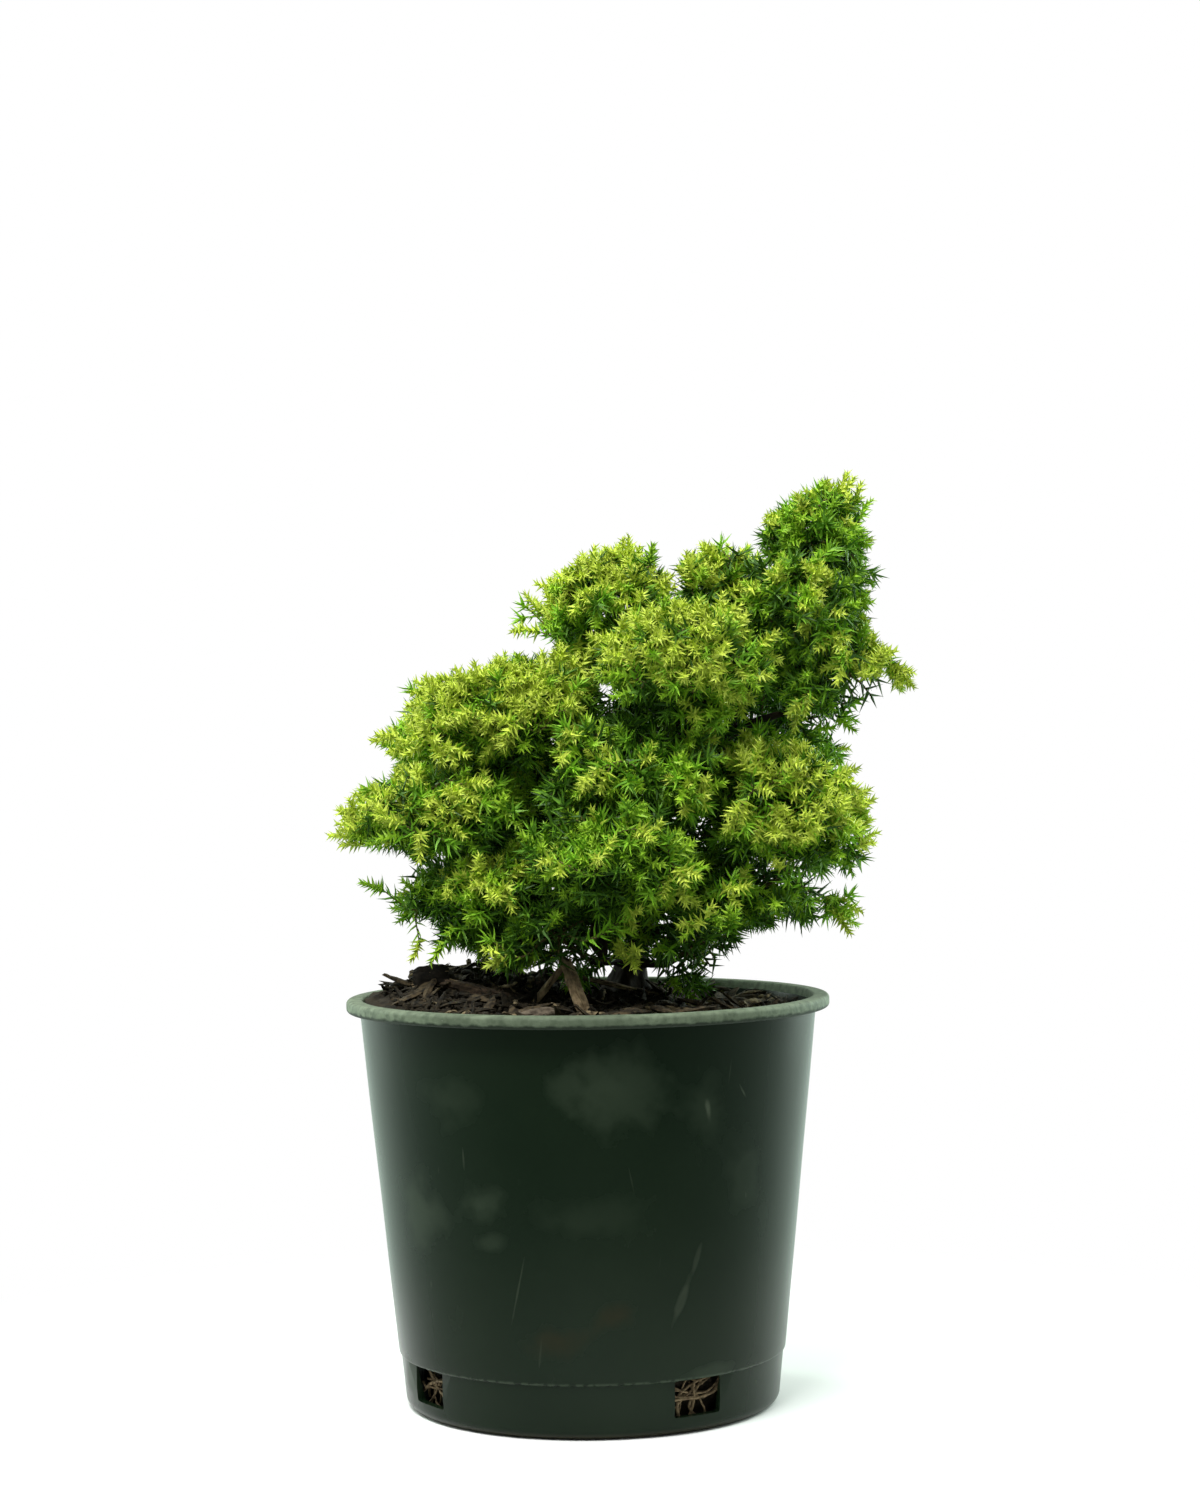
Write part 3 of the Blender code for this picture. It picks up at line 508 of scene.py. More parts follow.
growthLook = {
    "seed": 7,
    "stemEnd": 0.3,
    "stemRadius": 0.9 * mm,
    "firstTwig": 0.25,
    "twigs": 15,
    "twigReach": 0.70,
    "twigRadius": 0.62 * mm,
    "twigTipRadius": 0.35 * mm,
    "spraySpacing": 13.5 * mm,  # between the leading shoots
    "sprayDepth": (0.90, 0.17, 0.07),  # how far out their tips come: mean, by clump, by chance
    "gapLimit": 1.4,  # how deep in a mass's space the gaps still are that its sprays fill
    "starHeight": 4.5 * mm,  # of the young needles past a tip
    "flatUnder": 0.16,  # how much less far the shoots come on the underside
    "clumpSize": 17 * mm,
    "hollowDepth": 0.35,  # how far back the shoots stand in a hollow
    # painted light and shade: the entries from here to dimBetween, and innerLight, set how much lighter or
    # darker a shoot's needles are painted by where it grows
    "hollowShade": 0.60,
    "dimmestOutside": (0.24, 0.44),
    "coverShade": 0.58,  # how much darker a shoot is that grows under other clumps
    "coverHeights": (10, 20, 30, 40),  # in mm
    "skyLight": (0.62, 0.5),  # of a shoot at the side of its mass, and how much more on top
    "sunShare": (0.26, 0.92),  # of its mass's sun, for a shoot in the dark and how much more in the light
    "clumpLight": 0.34,
    "lightByChance": 0.08,
    "dimBetween": 0.6,  # of the shoots that stand between masses or face another mass
    "openFrom": 0.97,  # how much of its plain reach is free where a mass is open to the outside
    "betweenFrom": 1.04,  # and where it reaches on into a gap
    "coveredFrom": 0.93,  # how deep in another mass a place no longer is outside
    "betweenDepth": (0.6, 0.9),
    "hiddenDepth": (0.65, 0.9),
    "innerDepth": (0.45, 0.72),
    "innerLight": (-0.1, 0.22),
    "innerShare": 0.7,  # how many inner shoots there are, against the outer ones
    "sidesOf": dict(open=8, between=5, hidden=2, inner=3, reaching=6),  # side shoots of a spray at most
    "hiddenShare": 0.35,  # of the shoots that would face a neighbouring mass
    "shootRadius": 0.40 * mm,
    "sideShoots": (0.90, 0.82, 0.73, 0.64, 0.54, 0.45, 0.36, 0.28),  # where they leave a leading shoot
    "sideLength": (12.0 * mm, 6.0 * mm),
    "sideAngle": math.radians(50),
    "sideLimit": 0.93,  # how deep in the mass their tips stay
    "tipLength": 8.0 * mm,
    "starDepth": 1.9 * mm,  # of the whorl of old needles that ends a shoot without a young tip
    "bareTipShare": (0.76, 0.04),  # of the tips that end in old needles, in the shade and in the sun
    "limbShoots": 4.5 * mm,  # apart, where they clothe a limb
    "limbShootLength": 17 * mm,
    "clothedBough": (0.30, 1.0),  # from where to where along it
    "clothedTrunk": (0.22, 0.95),
    "lift": 0.30,  # how far the shoots on top turn up towards the light
    "droop": 0.22,  # and how far those at the sides and below hang over
}
# single sprays that reach past the clumps: tip in mm, which way the tip points, how brightly lit it is
# painted
reachingSprays = {
    "leader": [(101, 0, 341, 0.3, 0, 1, 0.75), (106, 6, 339, 0.6, 0.1, 0.8, 0.75),
        (87, 2, 336, -0.3, 0, 1, 0.75), (110, 2, 331, 0.9, 0, 0.4, 0.65),
        (109, 0, 314, 1, -0.2, -0.1, 0.6), (66, 5, 324, -1, 0, 0.4, 0.7), (99, 2, 343, 0.2, 0, 1, 0.8),
        (111, 4, 327, 0.8, 0, 0.5, 0.7)],
    "upper_front": [(104, -8, 294, 1, -0.2, -0.2, 0.5), (92, -33, 278, 0.4, -0.8, -0.2, 0.7),
        (94, -35, 288, 0.4, -0.8, 0.2, 0.6)],
    "right_shoulder": [(123, -8, 260, 0.8, 0, -0.5, 0.5), (118, -8, 268, 1, 0, 0.2, 0.55),
        (114, -8, 276, 0.8, 0, 0.5, 0.55), (104, -18, 254, 0.5, -0.2, -0.8, 0.45),
        (97, -20, 243, 0.2, -0.3, -1, 0.6), (88, -24, 247, 0.1, -0.4, -0.9, 0.7),
        (80, -24, 249, 0, -0.4, -0.9, 0.7), (85, -16, 240, 0.1, -0.3, -1, 0.6),
        (93, -8, 241, 0.3, -0.2, -1, 0.5), (76, -20, 243, -0.1, -0.4, -0.9, 0.5),
        (96, -33, 271, 0.3, -0.8, 0.2, 0.8)],
    "upper_middle": [(49, 8, 317, 0, 0, 1, 0.8), (34, 4, 308, -0.6, 0, 0.6, 0.75),
        (52, 8, 320, 0.1, 0, 1, 0.85)],
    "upper_left": [(16, 6, 320, 0.1, 0, 1, 0.9), (-26, 4, 296, -0.8, 0, 0.5, 0.85),
        (-18, 8, 304, -0.6, 0, 0.7, 0.85), (-28, 10, 288, -1, 0.1, -0.1, 0.8),
        (-27, -2, 284, -1, -0.2, -0.1, 0.75), (18, 6, 321, 0.1, 0, 1, 0.9),
        (-23, 4, 299, -0.6, 0, 0.6, 0.85)],
    "front_crown": [(35, -60, 261, 0, -0.5, -1, 1.0), (47, -60, 261, 0.1, -0.5, -1, 1.0),
        (38, -44, 248, 0, -0.6, -0.8, 0.5), (48, -45, 250, 0.2, -0.6, -0.7, 0.5)],
    "left_middle": [(-32, -20, 271, -0.2, -0.2, 1, 0.95), (-67, -8, 265, -0.8, 0, 0.5, 0.9),
        (-62, -10, 260, -1, 0, 0.3, 0.9), (-63, -6, 268, -0.6, 0, 0.7, 0.9),
        (-2, -38, 252, 0.2, -0.5, -0.8, 1.0), (-27, -41, 243, 0, -0.5, -0.9, 1.0),
        (-52, -36, 249, -0.4, -0.7, -0.2, 0.7), (-46, -38, 252, -0.2, -0.8, 0, 0.7),
        (-55, -36, 243, -0.3, -0.8, -0.2, 0.85), (-60, -30, 250, -0.5, -0.7, 0.1, 0.85),
        (-49, -40, 239, -0.2, -0.8, -0.4, 0.85), (-64, -24, 244, -0.7, -0.6, -0.1, 0.8)],
    "left_back": [(-79, -2, 246, -1, -0.2, 0, 0.7)],
    "far_left": [(-91, -20, 205, -0.9, 0, -0.3, 0.9), (-92, -14, 211, -1, 0, 0, 0.9),
        (-88, -18, 219, -0.9, 0, 0.4, 0.85), (-60, -46, 206, -0.3, -0.5, -0.8, 0.8),
        (-95, -20, 209, -1, 0, -0.2, 0.9), (-91, -16, 220, -0.9, 0, 0.4, 0.85)],
    "front_middle": [(2, -59, 225, 0, -0.5, -0.9, 0.95), (-9, -54, 233, -0.2, -0.6, -0.7, 0.9),
        (43, -43, 243, 0.3, -0.8, 0.2, 0.5), (38, -55, 226, 0.4, -0.8, -0.2, 0.55),
        (41, -51, 219, 0.5, -0.7, -0.4, 0.55), (46, -49, 224, 0.6, -0.7, 0, 0.5),
        (38, -54, 233, 0.4, -0.8, 0.2, 0.5)],
    "right_middle": [(107, -20, 203, 0.9, -0.1, -0.3, 0.65), (107, -12, 212, 1, 0.1, 0, 0.6),
        (106, -15, 224, 1, -0.1, 0.3, 0.65), (109, -14, 207, 1, 0, -0.1, 0.65),
        (108, -14, 220, 1, 0, 0.2, 0.65), (102, -10, 233, 0.9, 0, 0.5, 0.7),
        (65, -53, 221, 0, -0.6, -0.8, 1.0), (78, -47, 231, 0.2, -0.6, -0.5, 1.0),
        (55, -52, 211, -0.1, -0.6, -0.8, 0.9), (58, -25, 244, -0.3, -0.7, 0.6, 0.6),
        (60, -46, 236, -0.1, -0.8, 0.2, 0.7)],
    "front_low": [(-10, -66, 196, -0.1, -0.5, -0.9, 0.6), (22, -66, 206, 0.1, -0.6, -0.6, 0.6),
        (22, -75, 206, 0.1, -0.6, -0.9, 1.0), (-16, -69, 197, -0.2, -0.5, -0.9, 0.95),
        (4, -78, 199, 0, -0.6, -0.8, 0.9), (35, -67, 190, 0.2, -0.5, -0.8, 0.9),
        (40, -66, 195, 0.4, -0.8, -0.1, 0.6), (35, -62, 184, 0.2, -0.8, -0.5, 0.65),
        (27, -66, 187, 0, -0.8, -0.5, 0.65)],
    "lower_left": [(-84, -20, 192, -1, -0.1, 0, 0.35), (-66, -26, 164, -0.8, -0.2, -0.5, 0.8),
        (-47, -38, 160, -0.3, -0.4, -0.7, 0.5), (-30, -50, 186, -0.2, -0.5, -0.8, 0.6),
        (-57, -34, 162, -0.4, -0.3, -0.8, 0.45), (-34, -50, 187, -0.1, -0.5, -0.9, 1.0)],
    "low_front": [(17, -50, 161, 0.1, -0.4, -1, 0.95), (-12, -52, 163, -0.1, -0.5, -0.8, 0.45),
        (-33, -50, 161, -0.2, -0.4, -1, 0.95), (16, -56, 175, 0.1, -0.4, -1, 0.6),
        (19, -64, 183, 0.2, -0.8, 0, 0.6)],
    "low_right": [(54, -45, 169, 0.3, -0.4, -0.4, 0.5), (36, -44, 160, 0, -0.5, -0.8, 0.4),
        (46, -36, 158, 0.4, -0.3, -0.8, 0.85), (45, -60, 184, 0.3, -0.8, 0.1, 0.7),
        (39, -61, 177, 0, -0.8, -0.3, 0.65)],
    "lower_right": [(98, -16, 170, 0.7, -0.1, -0.6, 0.5), (92, -14, 178, 0.8, 0, -0.6, 0.5),
        (97, -18, 184, 1, -0.1, 0.1, 0.45), (101, -14, 174, 0.9, 0, -0.3, 0.55),
        (52, -50, 190, 0.1, -0.8, 0.1, 0.7), (68, -46, 198, 0.1, -0.8, -0.1, 0.5)],
    "back_left": [(-62, 66, 226, -0.7, 0.5, 0.3, 0.7)],
    "back_right": [(92, 62, 250, 0.6, 0.5, 0.5, 0.6)],
    "back_low": [(52, 72, 180, 0.4, 0.7, -0.2, 0.4)],
    "back_crown": [(14, 66, 284, -0.1, 0.5, 0.8, 0.8)],
}
# sky between the shoots, seen from the front: place across, height and reach in mm, at the pot's middle
skyGaps = [
    (50, 163, 7), (40, 316, 6), (32, 309, 6), (-19, 279, 6), (-36, 274, 5), (-77, 196, 6), (-70, 201, 5),
    (-75, 236, 6), (-72, 256, 6), (-46, 163, 6), (87, 249, 6), (95, 245, 6), (109, 310, 6), (107, 320, 5),
    (112, 259, 5), (101, 258, 5), (74, 333, 6), (81, 337, 5), (91, 190, 5), (85, 188, 5), (74, 174, 5),
    (60, 170, 5), (35, 160, 5), (63, 319, 5), (7, 259, 5), (64, 252, 5), (-62, 176, 5), (30, 176, 5),
]
# recesses between the clumps, seen from the front, in the same measures: the shoots there stand back and are
# darkened with painted shade
hollows = [
    (75, 288, 9), (74, 304, 9), (40, 252, 11), (16, 251, 15), (-12, 234, 12), (11, 292, 9), (1, 174, 24),
    (20, 168, 12), (-30, 210, 8), (-42, 177, 10),
]
# places that no front shoot hangs over, so that the bark behind shows
clearings = [(-7, 166, 12), (-14, 158, 7), (0, 158, 7), (5, 171, 7)]
# painted light and shade: lit and shaded copies of one needle colour, chosen by how sunny a shoot is, with
# the real yellowing of sunny growth in the lighter ones
needleTones = {
    # colour is linear, sun is how sunny a shoot is at least, needle is the length of its needles
    "shade": dict(colour=(0.039, 0.107, 0.009), sun=0.0, needle=8.0 * mm),
    "deep": dict(colour=(0.094, 0.242, 0.013), sun=0.18, needle=7.6 * mm),
    "mature": dict(colour=(0.157, 0.365, 0.018), sun=0.30, needle=7.0 * mm),
    "fresh": dict(colour=(0.218, 0.485, 0.023), sun=0.52, needle=6.4 * mm),
    "young": dict(colour=(0.279, 0.514, 0.030), sun=0.76, needle=5.4 * mm),
}
# the young tips take a tone by how sunny the shoot is: the real yellowing of sunny growth, with painted light
# and shade
tipTones = {
    "tipGreen": dict(colour=(0.268, 0.478, 0.027), sun=0.0),
    "tipLime": dict(colour=(0.338, 0.551, 0.033), sun=0.32),
    "tipGold": dict(colour=(0.530, 0.640, 0.074), sun=0.58),
}
# painted highlight: lighter copies of the needle tones for the whorls that end bare shoots, as if they catch
# the light, chosen by how sunny the shoot is
starTones = {
    "starShade": dict(colour=(0.090, 0.213, 0.013), sun=0.0),
    "starDeep": dict(colour=(0.162, 0.351, 0.019), sun=0.16),
    "starMature": dict(colour=(0.245, 0.491, 0.026), sun=0.34),
}
needleLook = {
    "spacing": 1.10 * mm,
    "length": 8.0 * mm,
    "width": 0.185,  # of a needle's length
    "fullness": 1.2,
    "spread": math.radians(76),
    "endSpread": math.radians(60),
    "rootLength": 0.75,  # a needle at the foot of a shoot, as a share of the longest
    "endLength": 0.80,
    "bend": 0.24,
    "segments": 2,
}
shadeNeedleLook = dict(needleLook, segments=1, bend=0.0, width=0.19, spacing=0.95 * mm)
twigNeedleLook = dict(shadeNeedleLook, length=8.5 * mm, spacing=1.15 * mm, rootLength=0.5, endLength=0.9)
starNeedleLook = {
    "spacing": 0.33 * mm,
    "length": 6.6 * mm,
    "width": 0.19,
    "fullness": 1.0,
    "spread": math.radians(84),
    "endSpread": math.radians(34),
    "rootLength": 1.0,
    "endLength": 0.62,
    "bend": 0.18,
    "segments": 2,
}
tipNeedleLook = {
    "spacing": 0.34 * mm,
    "length": 4.0 * mm,
    "width": 0.36,
    "fullness": 0.0,
    "spread": math.radians(80),
    "endSpread": math.radians(42),
    "rootLength": 1.15,
    "endLength": 0.60,
    "bend": 0.0,
    "segments": 1,
}
needleKinds = [  # their tones, the look of the needles, and the first seed
    (needleTones, needleLook, 0), (starTones, starNeedleLook, 20), (tipTones, tipNeedleLook, 9),
]

middles = np.array([spec["middle"] for spec in masses.values()]) * mm
reaches = np.array([spec["reach"] for spec in masses.values()]) * mm


def depthsOf(points):
    # how deep points are in each mass's space: 0 at its middle, 1 at its edge
    return np.linalg.norm((points[..., None, :] - middles) / reaches, axis=-1)


def depthInOthers(index, points):
    # how deep points are in the nearest of the other masses
    depths = depthsOf(points)
    depths[..., index] = 9
    return depths.min(axis=-1)


def inOwnSpace(index, points, limit=1.0):
    # inside the mass, or in a gap between masses, and nearer to this mass than to the others
    own, nearest = depthsOf(points)[..., index], depthInOthers(index, points)
    inGap = (own <= growthLook["gapLimit"]) & (nearest <= growthLook["gapLimit"])
    return (nearest > own) & ((own <= limit) | inGap)


def freeReach(index, directions, steps=56):
    # how far out of its middle a mass's own space goes along each direction, and how far its plain edge is
    edge = 1 / np.linalg.norm(directions / reaches[index], axis=1)
    stops = np.linspace(0, growthLook["gapLimit"], steps + 1)[1:]
    points = middles[index] + directions[:, None] * (edge[:, None] * stops)[:, :, None]
    inside = np.cumprod(inOwnSpace(index, points, 1.0001), axis=1)
    return edge * stops[0] * inside.sum(axis=1), edge


def coverOf(index, points):
    # how much of the light from above other masses keep from points, 0 to 1
    heights = np.array(growthLook["coverHeights"]) * mm
    above = points[:, None] + heights[:, None] * np.array((-0.1, -0.4, 0.9))
    return (depthInOthers(index, above) < 1).mean(axis=1)


def hollowAt(point):
    # how deep a point on the front lies in a hollow, 0 to 1, which sets its shoots back and darkens them with
    # painted shade
    if point[1] > 0:
        return 0.0
    spans = [math.hypot(point[0] - x * mm, point[2] - z * mm) / (reach * mm) for x, z, reach in hollows]
    return max(1 - min(spans) ** 2, 0)


def inSkyGap(point):
    # whether a point shows, from the camera, where the photo has sky or, near the front, what lies behind
    share = cameraLook["distance"] / (cameraLook["distance"] + point[1])
    across, height = point[0] * share, cameraLook["height"] + (point[2] - cameraLook["height"]) * share
    gaps = skyGaps + clearings if point[1] < -20 * mm else skyGaps
    return any(math.hypot(across - x * mm, height - z * mm) < reach * mm for x, z, reach in gaps)


def spreadDirections(count, turn, numbers, jitter):
    # directions spread evenly over a sphere, each a little off its place by chance
    height = 1 - (np.arange(count) + 0.5) * 2 / count
    around = turn + np.arange(count) * goldenAngle
    flat = np.sqrt(1 - height**2)
    even = np.stack([flat * np.cos(around), flat * np.sin(around), height], axis=1)
    directions = even + numbers.uniform(-jitter, jitter, (count, 3))
    return directions / np.linalg.norm(directions, axis=1)[:, None]


def lineLength(points):
    return sum((points[i + 1] - points[i]).length for i in range(len(points) - 1))


def linePoint(points, share):
    place = share * (len(points) - 1)
    i = min(int(place), len(points) - 2)
    return points[i].lerp(points[i + 1], place - i)


def lineDirection(points, share):
    i = min(int(share * (len(points) - 1)), len(points) - 2)
    return (points[i + 1] - points[i]).normalized()


def branchOff(points, share, turn):
    # a point of a line, the line's direction there, and a direction square to it
    ahead = lineDirection(points, share)
    across = ahead.orthogonal().normalized()
    return linePoint(points, share), ahead, across * math.cos(turn) + ahead.cross(across) * math.sin(turn)


class Strands:
    # lines gathered into one mesh of edges, each point with its girth
    def __init__(self):
        self.points, self.edges, self.girths, self.count = [], [], [], 0

    def add(self, points, firstGirth=0, lastGirth=0):
        base, last = len(self.points), len(points) - 1
        self.points += points
        self.edges += [(base + i, base + i + 1) for i in range(last)]
        self.girths += [firstGirth + (lastGirth - firstGirth) * i / last for i in range(last + 1)]
        self.count += 1

    def build(self, name):
        obj = meshFrom(name, self.points, edges=self.edges)
        girths = obj.data.attributes.new("girth", "FLOAT", "POINT")
        girths.data.foreach_set("value", np.array(self.girths, np.float32))
        return obj


class Foliage:
    # everything that grows: wood, twigs in the shade, and the shoots that each tone of needles clothes
    def __init__(self):
        self.wood, self.shadeTwigs, self.pending = Strands(), Strands(), []
        self.shoots = {tone: Strands() for tones in (needleTones, starTones, tipTones) for tone in tones}

    def addNeedles(self, tones, sunniness, line):
        bright = [name for name, tone in tones.items() if max(sunniness, 0) >= tone["sun"]]
        self.shoots[bright[-1]].add(line)

    def addShoot(self, line, sunniness, rng, girth):
        # wood all along, old needles up to the growing tip, then the star of young needles
        look = growthLook
        length, end, ahead = lineLength(line), line[-1], lineDirection(line, 1)
        self.wood.add(line[::2], girth, girth * 0.5)
        shaded, sunny = look["bareTipShare"]
        if rng.random() < shaded + (sunny - shaded) * min(max(sunniness / 0.55, 0), 1):
            self.addNeedles(needleTones, sunniness, line)
            star = [linePoint(line, 1 - look["starDepth"] / length), end + ahead * look["starDepth"] * 0.3]
            self.addNeedles(starTones, sunniness + rng.uniform(-0.10, 0.10), star)
            return
        tipStart = 1 - min(look["tipLength"] * 0.72 / length, 0.6)
        self.addNeedles(needleTones, sunniness, [linePoint(line, tipStart * i / 4) for i in range(5)])
        tip = [linePoint(line, tipStart), end, end + ahead * look["tipLength"] * 0.28]
        self.addNeedles(tipTones, sunniness + rng.uniform(-0.12, 0.26), tip)


def growWood(index, bough, foliage, rng, numbers):
    # the stem that carries on from the bough, and twigs spread through the whole space
    look = growthLook
    middle, reach = Vector(middles[index]), Vector(reaches[index])
    ahead = (bough[-1] - bough[-2]).normalized()
    onward = (middle - bough[-1]).normalized()
    end = middle + Vector([onward[axis] * reach[axis] for axis in range(3)]) * look["stemEnd"]
    handle = (end - bough[-1]).length * 0.35
    stem = bezier(bough[-1] - ahead * mm, bough[-1] + ahead * handle, end - onward * handle, end, 9)
    foliage.wood.add(stem, boughLook["tipRadius"], look["stemRadius"] * 0.6)
    branches = [stem]
    directions = spreadDirections(look["twigs"], rng.uniform(0, 6), numbers, 0.2)
    for direction, far in zip(directions, freeReach(index, directions)[0]):
        target = middle + Vector(direction) * far * look["twigReach"]
        nearest = min(range(11), key=lambda i: (linePoint(stem, i / 10) - target).length) / 10
        share = look["firstTwig"] + (1 - look["firstTwig"]) * nearest * 0.8
        start, forward = linePoint(stem, share), lineDirection(stem, share)
        length = (target - start).length
        if length < 5 * mm:
            continue
        leave = start + forward * length * 0.3
        out = (target - leave).normalized()
        branches.append(bezier(start, leave, target - out * length * 0.3, target, 9))
        foliage.wood.add(branches[-1], look["twigRadius"], look["twigTipRadius"])
        foliage.shadeTwigs.add(branches[-1][2:])
    return branches


def growSpray(tip, direction, aim, sunniness, hosts, foliage, rng, sides):
    # a leading shoot from the nearest twig to its tip, with side shoots in its outer part
    look = growthLook
    hostPoints, hostAims = hosts
    goal = np.array(tip)
    away = np.linalg.norm(hostPoints - goal, axis=1)
    outward = ((goal - hostPoints) @ np.array(direction)) / np.maximum(away, 1e-6)
    host = int(np.argmin(np.where(outward > 0.35, away, away * 2 + 0.01)))
    start, forward = Vector(hostPoints[host]), Vector(hostAims[host])
    span = (tip - start).length
    if span < 4 * mm or inSkyGap(tip):
        return
    shoot = bezier(start, start + forward * span * 0.25, tip - aim * span * 0.35, tip, 9)
    foliage.addShoot(shoot, sunniness, rng, look["shootRadius"])
    turn = rng.uniform(0, 6)
    for place in look["sideShoots"][:sides]:
        turn += goldenAngle
        base, ahead, out = branchOff(shoot, place, turn)
        long, short = look["sideLength"]
        length = (long + (short - long) * place) * rng.uniform(0.75, 1.2)
        leave = ahead * math.cos(look["sideAngle"]) + out * math.sin(look["sideAngle"])
        finish = (leave + ahead * 0.35 + aim * 0.3 + Vector((0, 0, aim.z * 0.25))).normalized()
        end = base + (leave * 0.55 + finish * 0.45) * length
        side = bezier(base, base + leave * length * 0.35, end - finish * length * 0.35, end, 5)
        # painted shade: side shoots nearer the foot of a spray are darker, those that face up lighter
        lit = sunniness - 0.26 * (0.9 - place) + 0.10 * out.z + rng.uniform(-0.06, 0.06)
        foliage.pending.append((side, lit))


def growMass(index, name, spec, bough, foliage):
    look = growthLook
    rng = random.Random(f"{name} {look['seed']}")
    numbers = np.random.default_rng(look["seed"] + index)
    middle, reach = Vector(middles[index]), Vector(reaches[index])
    branches = growWood(index, bough, foliage, rng, numbers)
    hosts = (np.array([point for branch in branches for point in branch[1:]]), np.array([
        (branch[min(i + 1, len(branch) - 1)] - branch[i - 1]).normalized()
        for branch in branches for i in range(1, len(branch))
    ]))
    foliage.pending = []
    spacing = look["spraySpacing"] * spec["loose"]
    pairs = ((0, 1), (0, 2), (1, 2))
    area = 4 * math.pi * (sum((reach[i] * reach[j]) ** 1.6 for i, j in pairs) / 3) ** (1 / 1.6)
    count, jitter = int(area / spacing**2), 0.4 * spacing / reach.length
    directions = spreadDirections(count, rng.uniform(0, 6), numbers, jitter)
    free, edge = freeReach(index, directions)
    between = free > edge * look["betweenFrom"]
    justOutside = middles[index] + directions * (edge * 1.02)[:, None]
    uncovered = depthInOthers(index, justOutside) >= look["coveredFrom"]
    exposed = (free > edge * look["openFrom"]) & ~between & uncovered
    cover = coverOf(index, middles[index] + directions * (free * 0.9)[:, None])
    mean, byClump, byChance = look["sprayDepth"]
    (besideLight, aboveLight), (darkSun, lightSun) = look["skyLight"], look["sunShare"]
    sidesOf = look["sidesOf"]
    for direction, far, isOpen, isBetween, covered in zip(directions, free, exposed, between, cover):
        if not isOpen and not isBetween and rng.random() > look["hiddenShare"]:
            continue
        clump = noise.noise(Vector(middles[index] + direction * far) / look["clumpSize"])
        depth = mean + byClump * clump * 2 + rng.uniform(-byChance, byChance)
        if isBetween:
            depth = rng.uniform(*look["betweenDepth"])
        elif not isOpen:
            depth = rng.uniform(*look["hiddenDepth"])
        sunk = hollowAt(middles[index] + direction * far)
        depth *= 1 - look["hollowDepth"] * sunk
        depth *= 1 - look["flatUnder"] * max(-direction[2], 0)
        tip = middle + Vector(direction) * (far * min(depth, 1.0) - look["starHeight"])
        # painted light and shade: a shoot's tone is lighter towards the top of its mass and in a lit clump,
        # and darker in a hollow, under other clumps and between masses
        light = min(besideLight + aboveLight * direction[2], 1)
        sunniness = spec["sun"] * (darkSun + lightSun * light) + look["clumpLight"] * clump
        sunniness += rng.uniform(-look["lightByChance"], look["lightByChance"])
        sunniness -= look["hollowShade"] * sunk + look["coverShade"] * covered
        if not isOpen:
            sunniness *= look["dimBetween"]
        elif sunk < 0.3:
            sunniness = max(sunniness, rng.uniform(*look["dimmestOutside"]) * min(spec["sun"] / 0.5, 1))
        rise = -look["droop"] + (look["lift"] + look["droop"]) * min(max(direction[2] * 1.6 + 0.2, 0), 1)
        aim = (Vector(direction) + Vector((0, 0, rise))).normalized()
        sides = sidesOf["open" if isOpen else "between" if isBetween else "hidden"]
        growSpray(tip, direction, aim, sunniness, hosts, foliage, rng, sides)
    # a second, inner layer of shoots keeps the clump from being seen through; they take dark tones, painted
    # shade
    count = int(count * look["innerShare"])
    inner = spreadDirections(count, rng.uniform(0, 6), numbers, 0.1)
    for direction, far in zip(inner, freeReach(index, inner)[0]):
        tip = middle + Vector(direction) * far * rng.uniform(*look["innerDepth"])
        light = rng.uniform(*look["innerLight"])
        growSpray(tip, direction, Vector(direction), light, hosts, foliage, rng, sidesOf["inner"])
    for *place, across, back, up, brightness in reachingSprays.get(name, []):
        tip, aim = Vector(place) * mm, Vector((across, back, up)).normalized()
        outward = (tip - middle).normalized()
        tip -= aim * look["starHeight"]
        growSpray(tip, outward, aim, brightness, hosts, foliage, rng, sidesOf["reaching"])
    # side shoots that would leave the mass's own space are dropped
    keep = inOwnSpace(index, np.array([line[-1] for line, _ in foliage.pending]), look["sideLimit"])
    for (line, sunniness), kept in zip(foliage.pending, keep):
        if kept and not inSkyGap(line[-1]):
            foliage.addShoot(line, sunniness, rng, look["shootRadius"] * 0.8)


def clotheLimb(line, first, last, foliage, rng):
    # leafy shoots that clothe a limb between the trunk and its mass
    look = growthLook
    count = int(lineLength(line) * (last - first) / look["limbShoots"])
    turn = rng.uniform(0, 6)
    for i in range(count):
        turn += goldenAngle
        share = first + (last - first) * (i + rng.random()) / count
        base, ahead, across = branchOff(line, share, turn)
        out = (across + ahead * 0.5).normalized()
        span = rng.uniform(0.7, 1.25) * look["limbShootLength"]
        tip = base + out * span + Vector((0, 0, 0.15 * span))
        if inSkyGap(tip):
            continue
        shoot = bezier(base, base + out * span * 0.3, tip - out * span * 0.3, tip, 7)
        # the shoots that clothe a limb, and their side shoots, take dim tones: painted shade
        foliage.addShoot(shoot, rng.uniform(0.05, 0.30), rng, look["shootRadius"])
        for place in (0.75, 0.55, 0.35):
            turn += goldenAngle
            start, forward, side = branchOff(shoot, place, turn)
            aim = (forward + side * 1.2).normalized()
            end = start + aim * span * 0.45
            sideShoot = bezier(start, start + side * span * 0.15, end - aim * span * 0.15, end, 5)
            foliage.addShoot(sideShoot, rng.uniform(0.05, 0.35), rng, look["shootRadius"] * 0.8)


